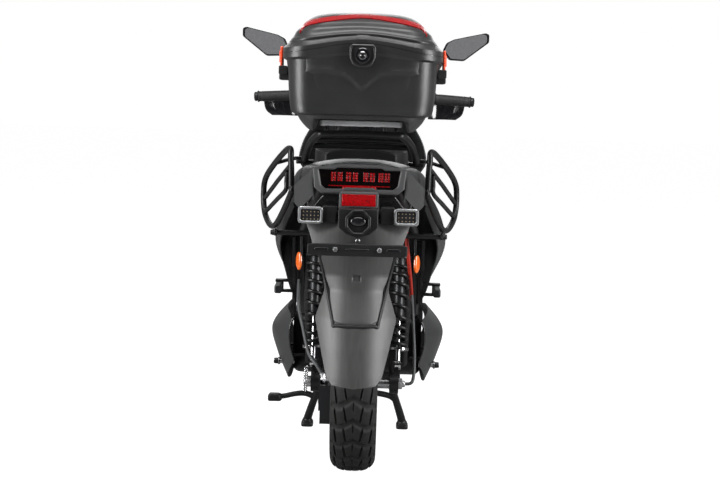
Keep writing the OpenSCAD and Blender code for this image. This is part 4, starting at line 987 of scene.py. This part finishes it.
# Turn signals. Rounded black housings with a bright bezel round a dark inner lens, each on a ribbed rubber
# stalk.
silver = material("silver_bezel", polished((0.30, 0.305, 0.31), (0.42, 0.425, 0.43), 0.16), Metallic=0.6)
signal_shells, bezels, inner_lenses, stalks = [], [], [], []
for s in (-1, 1):
    rows = [(-306, 30, 690, 730, 9), (-282, 30, 690, 730, 9), (-272, 24, 695, 725, 8),
            (-267, 18, 699, 721, 7)]
    signal_shells.append(solid(metres(cross_rings(rows) + [s * 119, 0, 0])))
    box_of = lambda w, h, r: outline([(s * 119 - w, 710 - h), (s * 119 + w, 710 - h), (s * 119 + w, 710 + h),
                                      (s * 119 - w, 710 + h)], r)
    bezels.append(frame_ring(box_of(31, 21, 9), box_of(24.5, 14.5, 6), -312, -302, 2))
    inner_lenses.append(plate(box_of(25, 15, 6), -308, -303, 1.5))
    radius = 8 + 1.4 * np.cos(np.linspace(0, 12 * np.pi, 61))
    stalks.append(turned(np.column_stack([s * np.linspace(30, 92, 61), radius]), (-280, 710), 32))
make("signal_shells", signal_shells, black_plastic, "frame", ["rear_signals"])
make("signal_bezels", bezels, silver, "frame")


def diode_tray(spot):
    """Dark lens over a row of pale diodes: bright spots in a grid of cells."""
    cells = spot.node("TexVoronoi", {"feature": "F1"}, {"Vector": spot, "Scale": 110.0, "Randomness": 0.0})
    dots = cells.math("LESS_THAN", cells, 0.22)
    return {"Base Color": dots.mix((0.02, 0.02, 0.022), (0.30, 0.24, 0.16)), "Roughness": cells * 0.1 + 0.06}


make("signal_lenses", inner_lenses, material("signal_lens", diode_tray, Coat_Weight=0.7), "frame")
make("signal_stalks", stalks, rubber, "frame")

# Luggage rack. A bent tube arch on flat feet with a cross tube, and a light alloy plate with slots on its
# posts.
arch = [[150, 24, 832], [146, -40, 842], [128, -150, 884], [106, -236, 907], [86, -251, 910], [30, -252, 912]]
arch = np.array(arch + [[-x, d, z] for x, d, z in arch[::-1]], float)
rack = [tube(smoothed(arch, 12), 10, 24)]
rack += [slab(sorted((s * 124, s * 172)), (-16, 16), (823.4, 834), 7, 2, "xdz") for s in (-1, 1)]


def post(x, d, z0, z1, r):
    """An upright pin with bevelled ends."""
    return upright(x, d, [(z0, r * 0.8), (z0 + 1, r), (z1 - 1, r), (z1, r * 0.8)])


rack += [post(s * x, d, z0, z1, 6) for s in (-1, 1)
         for x, d, z0, z1 in [(133, 0, 720.5, 830), (60, -252, 905, 929.8), (90, -130, 874, 929.8)]]
rack += [tube([[-122, -130, 877], [-60, -130, 878], [60, -130, 878], [122, -130, 877]], 8)]
rack += [tube(smoothed([[-112, -190, 893], [-60, -196, 895], [60, -196, 895], [112, -190, 893]], 6), 8)]
make("rack_tubes", rack, black_paint, "frame", ["rear_rack"])


def brushed_alloy(spot):
    """Brushed aluminium: long scratches across, short along."""
    scratch, patch = spot.noise(220, 3, 0.7, (0.05, 1, 1)), spot.noise(18, 2, 0.5)
    return {"Base Color": patch.mix((0.50, 0.51, 0.52), (0.68, 0.69, 0.70)),
            "Roughness": scratch * 0.25 + 0.22,
            "Normal": scratch.bump(0.00004)}


plate_alloy = material("brushed_plate", brushed_alloy, Metallic=0.3)
bars = [slab((x - 9, x + 9), (-258, -36), (930.3, 943), 6, 2, "xdz") for x in (-92, -40, 0, 40, 92)]
bars += [slab((-103, 103), d, (931, 945), 8, 2.5, "xdz") for d in ((-264, -202), (-78, -30))]
make("rack_deck", bars, plate_alloy, "frame", ["rack_plate"])

# Side guards. Welded hoops of bent black tube that keep panniers off the wheel, with two inner bars each, a
# stay to the rack, and a cross bar under the tail on bolted tabs.
def guard_point(p):
    """A place on the guard's leaning plane from its share s rearwards to forwards and its height."""
    s, z = np.asarray(p, float).T
    return np.column_stack([176 + 91 * s, -150 + 300 * s, z])


loop = guard_point([(0.13, 866), (0.86, 788), (1, 733), (0.9, 672), (0.55, 655), (0.03, 747), (0, 774),
                    (0.03, 834)])
lean = np.cross([91, 300, 0], [0, 0, 1]) / 313.5
inner_bars = [guard_point([(0.03, 826), (0.48, 776), (0.93, 722)]),
              smoothed(guard_point([(0.15, 806), (0.17, 780), (0.19, 757), (0.5, 725), (0.9, 684)]), 6)]
guards = [tube(smoothed(loop, 14, loop=True), 8, 20, loop=True, up=lean)]
guards += [tube(p, 6, 16, up=lean) for p in inner_bars]
guards += [tube([[221.5, 0, 824], [196, -2, 832], [171, 0, 838]], 5, 14, up=(0, 1, 0)),
           slab((158, 175), (-9, 9), (834.3, 842.5), 4, 1.5, "xdz")]
make("guard_hoops", guards + [flipped(p) for p in guards], black_paint, "frame",
     ["side_guards"])
cross = [turned([(-232, 5), (-231, 7), (231, 7), (232, 5)], (8, 637), 28)]
for s in (-1, 1):
    cross.append(slab(sorted((s * 220, s * 226)), (-4, 22), (628, 646.8), 5, 1.2, "dzx"))
    cross.append(turned([(s * 226, 9), (s * 231, 9), (s * 233, 7.5), (s * 236, 7.5), (s * 237, 5)], (8, 637),
                        6))
make("guard_cross", cross, black_paint, "frame", ["guard_crossbar"])

# Top case. A deep tub with two shallow embossed lobes at the back, a flange that rises in the middle, a lock
# in a U-shaped escutcheon, and lugs for the lid and the latches. Grained graphite plastic.
seam_z = 1120
case_plastic = material("case_moulding", coated((0.012, 0.012, 0.0123), (0.030, 0.030, 0.0305), 0.36, 1300,
                                                0.0002))
corner_turn = np.linspace(0, 90, 13)


def plan_rings(rows, steps):
    """Rounded rectangles in plan, eased between the rows: half-width, back, front, corner radius and
    height."""
    R = smoothed(np.array(rows, float), steps)
    out = []
    for w, y0, y1, r, z in R:
        arcs = [(w - r, y1 - r, 0), (r - w, y1 - r, 90), (r - w, y0 + r, 180), (w - r, y0 + r, 270)]
        turnings = np.concatenate([np.column_stack([np.full(13, cx), np.full(13, cy), start + corner_turn])
                                   for cx, cy, start in arcs])
        c, s = np.cos(np.radians(turnings[:, 2])), np.sin(np.radians(turnings[:, 2]))
        edge = np.column_stack([turnings[:, 0] + r * c, turnings[:, 1] + r * s])
        closed = np.vstack([edge, edge[:1]])
        length = np.concatenate([[0], np.cumsum(np.linalg.norm(np.diff(closed, axis=0), axis=1))])
        even = np.linspace(0, length[-1], 321)[:-1]
        across, depth = (np.interp(even, length, closed[:, k]) for k in (0, 1))
        across *= 1 - 0.06 * np.clip((-205 - depth) / 150, 0, 1)
        out.append(np.column_stack([across, depth, np.full(320, z)]))
    return np.array(out)


def flange_rise(P, low, high):
    """How far the seam between tub and lid lifts: 13 (1 + cos(pi x / 202)) - 12 at the back, fading to the
    hinge and away from the seam's height."""
    x, d, z = np.moveaxis(P, -1, 0)
    back = np.clip((-60 - d) / 220, 0, 1)
    near = np.clip(np.where(z < seam_z, (z - low) / (seam_z - low), (high - z) / (high - seam_z)), 0, 1)
    return (13 * (1 + np.cos(np.pi * np.clip(x / 202, -1, 1))) - 12) * back * near


tub = plan_rings([(122, -304, -24, 40, 918), (136, -322, -8, 48, 923), (157, -338, 8, 62, 946),
                  (171, -350, 20, 72, 980),
                  (184, -358, 26, 76, 1036), (192, -359, 28, 74, 1096)], 10)
tub_middle = [0, -164]
floor_rings = [np.column_stack([(tub[0, :, :2] - tub_middle) * share + tub_middle, tub[0, :, 2]])
               for share in (0.2, 0.6, 0.8, 0.92)]
tub = np.concatenate([floor_rings, tub])
tub[..., 2] += np.clip((117 - np.abs(tub[..., 0])) / 6, 0, 1) * np.maximum(948 - tub[..., 2], 0)
x, d, z = np.moveaxis(tub, -1, 0)
lobe_edge = np.interp(np.abs(x), [0, 8, 20, 38, 56, 80, 110, 135, 152, 163, 172],
                      [1031, 1034, 1046, 1060, 1066, 1069, 1070, 1064, 1046, 1016, 970])
at_back = np.clip((-300 - d) / 30, 0, 1)
within = np.clip((172 - np.abs(x)) / 6, 0, 1)
sunk = np.clip((lobe_edge - z) / 9, 0, 1) * within * np.clip((z - 940) / 30, 0, 1) * at_back
ridge = np.clip(1 - np.abs(lobe_edge - z) / 7, 0, 1) * within * at_back
tub[..., 1] += 4.5 * sunk - 2.4 * ridge
lip = plan_rings([(192, -359, 28, 74, 1096), (202, -362, 32, 66, 1103)], 4)
lip = np.concatenate([lip, plan_rings([(202, -362, 32, 62, 1104), (202, -362, 32, 62, 1119.4)], 3)])
mouth = plan_rings([(198.5, -358.5, 28.5, 58.5, 1119.4), (190, -354.5, 24.5, 54.5, 1098),
                    (182, -349, 19, 48, 985),
                    (160, -334, 4, 42, 956), (40, -200, -120, 12, 953)], 5)
case_body = np.concatenate([tub, lip, mouth])
case_body[..., 2] += flange_rise(case_body, 1060, 1200)
hinges = [slab(sorted((s * 30, s * 60)), (27, 38), (1106, 1113), 2, 1, "xdz") for s in (-1, 1)]
hinges += [turned([(s * 30, 6), (s * 60, 6)], (38, seam_z), 28) for s in (-1, 1)]
hinges += [turned([(-45, 3), (45, 3)], (38, seam_z), 20)]
for s in (-1, 1):
    hinges += [slab(sorted((s * 190, s * 212)), (y, y + 6), (1056, 1078), 4, 1, "xzd") for y in (-206, -122)]
    hinges.append(slab(sorted((s * 184, s * 211)), (-200, -122), (1042, 1058), 5, 2, "xzd"))
make("case_tub", [solid(metres(case_body))] + hinges, case_plastic, "frame",
     ["case_base"], 32)
shield = outline(both_sides([(26, 1131), (32, 1124), (31, 1098), (23, 1081), (9, 1075)]), 3, 5)
shield_face = outline(both_sides([(22, 1126), (26, 1121), (25.5, 1100), (19, 1087), (8, 1081)]), 3, 5)
make("lock_escutcheon", [frame_ring(shield, shield_face, -372, -358, 2), plate(shield_face, -369, -358, 1)],
     case_plastic,
     "frame")
lock_ring = knob(0, -371, 1104, [(0, 18.5), (-3, 18.5), (-4.5, 17), (-4.5, 12), (-2, 10.2), (0, 10.2)])
make("lock_ring", [lock_ring], gloss_black, "frame")
lock_face = [knob(0, -377, 1104, [(23, 9.4), (0.8, 9.4), (0, 8.6), (0, 5), (1, 4.4)]),
             knob(0, -354, 1104, [(0, 6), (8, 6)])]
make("lock_barrel", lock_face, chrome, "lock", ["case_lock"])
make("lock_keyway", [slab((-1, 1), (-377.2, -374), (1100, 1108), 0.8, 0.3)], gloss_black, "lock")

# Lid. The domed top of the case: a stepped skirt, two raised steps that run round it, a red strip across its
# rear edge with a faint painted glow, and a thumb grip over the lock.
lid_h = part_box("case_lid")[1].z * 1000 - seam_z
lid_rows = [(202, -362, 32, 62, 1120.2), (201, -361.5, 31, 62, 1130), (199, -359, 29, 60, 1132)]
lid_rows += [(w, y0, y1, r, seam_z + share * lid_h) for w, y0, y1, r, share in [
    (189, -350, 22, 57, 0.22), (182, -350, 20, 56, 0.30), (179, -345, 16, 55, 0.36), (170, -337, 8, 54, 0.48),
    (161, -328, -2, 54, 0.58), (149, -313, -14, 52,
                                0.70), (136, -298, -28, 50, 0.80), (118, -280, -46, 46, 0.89),
    (90, -250, -76, 38, 0.96), (52, -222, -104, 24, 1)]]
dome_rings = plan_rings(lid_rows, 6)
cave = plan_rings([(48, -222, -100, 20, 1116 + lid_h), (95, -258, -68, 36, 1112 + lid_h),
                   (132, -294, -32, 46, 1116 + 0.78 * lid_h),
                   (157, -324, -6, 50, 1116 + 0.56 * lid_h), (178, -346, 16, 52, 1116 + 0.28 * lid_h),
                   (198, -358, 28, 58, 1120.2)], 5)
step_h = (dome_rings[..., 2] - seam_z) / lid_h
for height, size in ((0.34, 2.2), (0.56, 2.4)):
    rise = size * (1 / (1 + np.exp(-(height - step_h) / 0.008)) - 0.5)
    outward = dome_rings - [0, -165, 0]
    outward[..., 2] = 0
    outward /= np.maximum(np.linalg.norm(outward, axis=2, keepdims=True), 1)
    dome_rings += outward * (rise * (np.abs(step_h - height) < 0.09))[..., None]
lid_body = np.concatenate([cave, dome_rings])
lid_body[..., 2] += flange_rise(lid_body, 1060, seam_z + lid_h)
thumb = np.exp(-((lid_body[..., 0] / 15) ** 4)) * np.exp(-(((lid_body[..., 2] - 1147) / 7) ** 4))
thumb *= lid_body[..., 1] < -330
lid_body[..., 1] -= 4 * thumb
lid_parts = [solid(metres(lid_body)), slab((-29, 29), (27, 36), (1121, 1132), 2, 1, "xdz"),
             turned([(-29, 5.8), (29, 5.8)], (38, seam_z), 28)]
make("case_dome", lid_parts, case_plastic, "lid", ["case_lid"], 32)
rear_face = dome_rings[:, dome_rings[0, :, 1] < -165]
strip_line = smoothed([(-154, 1162), (-149, 1172), (-132, 1183), (-60, 1193), (0, 1199), (60, 1193),
                       (132, 1183), (149, 1172),
                       (154, 1162)], 8)


def lid_back(x, z):
    """Depth of the lid's rear face at x across and z up, between its rings."""
    depths = [np.interp(x, *line[np.argsort(line[:, 0]), :2].T) for line in rear_face]
    return np.interp(z, rear_face[:, 0, 2], depths)


half_height = np.interp(np.abs(strip_line[:, 0]), [0, 130, 154], [6, 5.5, 3.5])
band = np.array([[(x, lid_back(x, z + h * k) - 0.2, z + h * k) for (x, z), h in zip(strip_line, half_height)]
                 for k in np.linspace(-1, 1, 5)])
band[..., 2] += flange_rise(band, 1060, seam_z + lid_h)
# The lid's red strip glows faintly in the red lens's emission: painted glow, not a lamp.
make("lid_red_strip", [skin(metres(band), 2.6)], red_lens, "lid", ["lid_strip"], 30)

# Latches. Orange clamps with black rounded toggles that turn on pins through the flange's lugs.
def orange_surface(spot):
    """Orange-red plastic with handling scuffs."""
    patch, fine = spot.noise(40, 4, 0.6), spot.noise(900, 2, 0.5)
    return {"Base Color": patch.mix((0.72, 0.045, 0.012), (0.90, 0.09, 0.02)), "Roughness": fine * 0.2 + 0.22,
            "Normal": fine.bump(0.0001)}


orange_plastic = material("orange_plastic", orange_surface)
for s, name, body in ((-1, "latch_left", "left_latch"), (1, "latch_right", "right_latch")):
    clamp = [plate(outline([(-199, 1072), (-123, 1072), (-127, 1127), (-195, 1127)], 6), s * 203.5, s * 209,
                   2, "dzx"),
             plate(outline([(-190, 1086), (-132, 1086), (-136, 1116), (-186, 1116)], 5), s * 208, s * 212, 2,
                   "dzx")]
    barrel_rows = [(-199.5, 3.1), (-199.5, 5.4), (-198.5, 6), (-123.5, 6), (-122.5, 5.4), (-122.5, 3.1)]
    make(name + "_clamp", clamp, orange_plastic, body, [name])
    make(name + "_barrel", [knob(s * 206, 0, 1068, barrel_rows, loop=True)], black_plastic, body)

# Seat. A moulded pan on a hinge carries a foam pad in grained black vinyl, with a piped seam round its top
# and two sewn channels across it.
seat_rows = np.array([(58, 86, 822, 850), (64, 100, 815, 864), (110, 122, 812, 876), (240, 130, 806, 875),
                      (318, 134, 770, 852), (368, 138, 722, 802),
                      (450, 138, 716, 782), (560, 116, 713, 780), (640, 84, 713, 784), (678, 52, 718, 774)],
                     float)
R = smoothed(seat_rows, 10)
a = np.linspace(0, 2 * np.pi, 120, endpoint=False)


def rounded(v, power):
    """The sign of v times |v| to a power below one, which squares a circle off."""
    return np.sign(v) * np.abs(v) ** power


cushion_rings = []
for d, w, z0, z1 in R:
    cx, cz = w * rounded(np.cos(a), 0.55), (z1 - z0) / 2 * rounded(np.sin(a), 0.5)
    cushion_rings.append(np.column_stack([cx, np.full(120, d), (z0 + z1) / 2 + cz]))
cushion = np.array(cushion_rings)
upper = cushion[..., 2] > ((R[:, 2] + R[:, 3]) / 2)[:, None] + 0.25 * (R[:, 3] - R[:, 2])[:, None]
crown = np.clip(1 - (cushion[..., 0] / R[:, 1][:, None]) ** 2, 0, 1)
cushion[..., 2] += np.where(upper, 3.0 * crown, 0)
for seam in (205, 470):
    cushion[..., 2] -= np.where(upper, 5.0 * np.exp(-((cushion[..., 1] - seam) / 5) ** 2), 0)


def grained_vinyl(spot):
    """Black vinyl: leather-like cells a millimetre across, softly raised, a little greyer in patches."""
    cells = spot.node("TexVoronoi", {"feature": "DISTANCE_TO_EDGE"}, {"Vector": spot, "Scale": 620.0})
    patch = spot.noise(12, 3, 0.5)
    return {"Base Color": patch.mix((0.004, 0.004, 0.004), (0.011, 0.011, 0.011)),
            "Roughness": patch * 0.15 + 0.42,
            "Normal": cells.bump(0.0004, 0.6)}


vinyl = material("seat_vinyl", grained_vinyl, Specular_IOR_Level=0.35)
pad = make("seat_pad", [solid(metres(cushion))], vinyl, "seat", ["seat_cushion"], 60)
piped = R[4:-6]
seam_path = [np.column_stack([side * (piped[:, 1] * 0.985), piped[:, 0],
                              piped[:, 2] + 0.70 * (piped[:, 3] - piped[:, 2])])
             for side in (1, -1)]
make("seat_piping", [tube(p, 1.8, 10) for p in seam_path], vinyl, "seat")

# Handlebar. A bent black tube with moulded switch pods, brake lever brackets, mirror stems and ribbed rubber
# grips, on two risers from the fork's upper yoke.
bend = np.array([[0, 948, 976], [60, 948, 976], [96, 948, 978], [125, 948, 990], [150, 948, 1003],
                 [185, 945, 1008]], float)
bar_half = smoothed(bend, 8)
grip_start, grip_end = np.array([185, 945, 1008.0]), np.array([350, 925, 998.0])
grip_line = (grip_end - grip_start) / np.linalg.norm(grip_end - grip_start)
full_bar = np.vstack([bar_half[:0:-1] * [-1, 1, 1], bar_half])
outer = grip_start + grip_line * 169
bar_path = np.vstack([outer * [-1, 1, 1], full_bar, outer])
handle_parts = [tube(bar_path, 11, 28, up=(0, 1, 0))]


def on_grip(side, rows, sides=40):
    """A turned part on the grip's own axis: rows are distance along it and radius."""
    u = np.cross(grip_line, [0, 0, 1])
    u /= np.linalg.norm(u)
    v = np.cross(grip_line, u)
    a = np.linspace(0, 2 * np.pi, sides, endpoint=False)[:, None]
    P = np.array([grip_start + h * grip_line + r * (np.cos(a) * u + np.sin(a) * v) for h, r in rows])
    return P * [side, 1, 1]


for side in (-1, 1):
    flip = np.array([side, 1, 1])
    handle_parts.append(solid(metres(on_grip(side, [(0, 14), (1, 18), (3, 19.5), (33, 19.5), (36, 19),
                                                    (38, 16)]))))
    handle_parts.append(slab(sorted((side * 190, side * 218)), (952, 996), (1012.4, 1017), 5, 1.5, "xdz"))
    handle_parts.append(slab(sorted((side * 190, side * 218)), (952, 996), (995, 999.6), 5, 1.5, "xdz"))
    handle_parts.append(slab(sorted((side * 166, side * 196)), (918, 950), (988, 1030), 8, 5, "xzd"))
    handle_parts.append(post(side * 204, 984, 994, 1018.5, 3.2))
    stem_line = smoothed([[208, 948, 1018], [209, 948, 1035], [216, 948, 1062], [240, 949, 1108],
                          [262, 950, 1146]], 8)
    handle_parts.append(tube(stem_line * flip, 6, 18, up=(0, 1, 0)))
    ball_rows = [(-8.4, 3), (-6, 6.5), (-3, 8.5), (0, 9), (3, 8.5), (6, 6.5), (8.4, 3)]
    handle_parts.append(upright(side * 262, 950, [(1148 + h, r) for h, r in ball_rows]))
make("bar_assembly", handle_parts, black_paint, "steering", ["handlebar"])
screen_body = slab((-72, 72), (-10, 10), (-39, 39), 12, 4)
tilt = math.radians(32)


def tilted(part):
    """The display's own block leaned back by 32 degrees: d cos - z sin, d sin + z cos, and set on its
    bracket."""
    d, z = part[0][:, 1] - axle[1], part[0][:, 2]
    y = d * math.cos(tilt) - z * math.sin(tilt) + 0.9434
    h = d * math.sin(tilt) + z * math.cos(tilt) + 1.0303
    return np.column_stack([part[0][:, 0], y + axle[1], h]), part[1], part[2]


make("display_body", [tilted(screen_body), tilted(slab((-66, 66), (-11, -8), (-33, 33), 8, 1)),
                      slab((24, 36), (950, 962), (987.3, 1006), 3, 1),
                      slab((-36, -24), (950, 962), (987.3, 1006), 3, 1)],
     gloss_black, "steering", ["dash_display"])
guard_rows = [(1012, 1.0), (1000, 1.09), (985, 1.12), (955, 1.05), (938, 0.86)]
guard_cols = [(212, 1016), (245, 1030), (285, 1026), (318, 1006)]
guard_net = np.array([[[210 + (x - 210) * k, d, z] for x, d in guard_cols] for z, k in guard_rows], float)
hand_panel = skin(metres(net(guard_net, 5, 8)), -3)
hand_stay = slab((206, 214), (994.3, 1016), (995, 999.6), 2, 1, "xdz")
make("hand_guard_panels", [hand_panel, flipped(hand_panel), hand_stay, flipped(hand_stay)], gloss_black,
     "steering",
     ["hand_guards"])


def moulded_rubber(spot):
    """Grip rubber: fine diamond knurl worn smooth in patches."""
    knurl, patch = spot.noise(480, 2, 0.5), spot.noise(30, 3, 0.5)
    return {"Base Color": patch.mix((0.004, 0.004, 0.004), (0.012, 0.012, 0.012)),
            "Roughness": patch * 0.2 + 0.5,
            "Normal": knurl.bump(0.0004)}


grip_rubber = material("grip_rubber", moulded_rubber)
h = np.linspace(43.5, 161, 236)
ribs = 16.2 + 0.8 * (np.cos(h * 2 * np.pi / 5) > 0.1) * (np.abs(h - 102) < 45)
ribs = np.where(h < 48, 19.5, np.where(h > 157, 18.6, ribs))
grip_rows = [(43, 12)] + list(zip(h, ribs)) + [(163, 16), (163, 12)]
for side, name, body in ((-1, "left_grip", "steering"), (1, "throttle_grip", "throttle")):
    make(name + "_rubber", [ring(metres(on_grip(side, grip_rows)))], grip_rubber, body, [name])
ends = [solid(metres(on_grip(s, [(160, 10), (163.6, 11), (164, 15), (170, 15), (173, 12), (174, 6)])))
        for s in (-1, 1)]
make("bar_ends", ends, dark_alloy, "steering")
lever_path = smoothed([[204, 984, 1006], [216, 990, 1005], [240, 998, 1003], [270, 999, 1000],
                       [300, 996, 998], [330, 990, 995], [352, 984, 993]], 8)
for side, name, body in ((-1, "lever_left", "left_lever"), (1, "lever_right", "right_lever")):
    blade = tube(lever_path * [side, 1, 1],
                 np.interp(np.arange(len(lever_path)), [0, 20, 44, 48], [5.5, 5, 4.6, 5.8]), 16)
    boss_rows = [(1001, 3.3), (1001, 8), (1002, 9), (1010, 9), (1011, 8), (1011, 3.3)]
    boss = upright(side * 204, 984, boss_rows, 32, loop=True)
    make(name + "_blade", [blade, boss], black_paint, body, [name])

# Mirrors. Leaf-shaped glossy black shells on ball-jointed stems, each with a dark pane set in the face that
# looks to the rear.
leaf = outline([(10, -18), (58, -20), (138, 42), (138, 68), (126, 73), (24, 50), (0, 38), (-12, 12)], 6, 10)


def dusty_glass(spot):
    """Dark mirror glass: nearly flawless, with a trace of dust."""
    dust = spot.noise(120, 3, 0.6)
    return {"Base Color": dust.mix((0.10, 0.10, 0.105), (0.17, 0.17, 0.175)), "Roughness": dust * 0.06 + 0.02}


mirror_finish = material("mirror_glass", dusty_glass, Metallic=0.25)
for side, name, body in ((-1, "mirror_left", "left_mirror"), (1, "mirror_right", "right_mirror")):
    rings, middle = [], leaf.mean(0)
    for share, y in [(0.93, 938), (0.985, 938.4), (1.0, 940), (1.0, 950), (0.97, 957), (0.88, 961),
                     (0.7, 963.4), (0.4, 964)]:
        P = middle + (leaf - middle) * share
        rings.append(np.column_stack([side * (262 + P[:, 0]), np.full(len(P), y), 1150 + P[:, 1]]))
    glass = middle + (leaf - middle) * 0.90
    make(name + "_shell", [solid(metres(rings))], gloss_black, body, [name])
    pane = [np.column_stack([side * (262 + glass[:, 0]), np.full(len(glass), y), 1150 + glass[:, 1]])
            for y in (937.2, 938.6)]
    make(name + "_glass", [solid(metres(pane))], mirror_finish, body)

# Front mudguard. A graphite arch over the tyre that rides with the fork sliders, highest along its middle and
# lower at its two edges.
arch_angles = np.radians(np.linspace(28, 148, 61))[:, None]
s = np.linspace(-1, 1, 41)[None]
r = tyre_radius * 1000 + 18 - 26 * s ** 2
fender = np.stack(np.broadcast_arrays(66 * s, front_centre + r * np.cos(arch_angles),
                                      wheel_z + r * np.sin(arch_angles)), -1)
make("fender_shell", [skin(metres(fender), -3)], graphite, "fork", ["front_fender"])
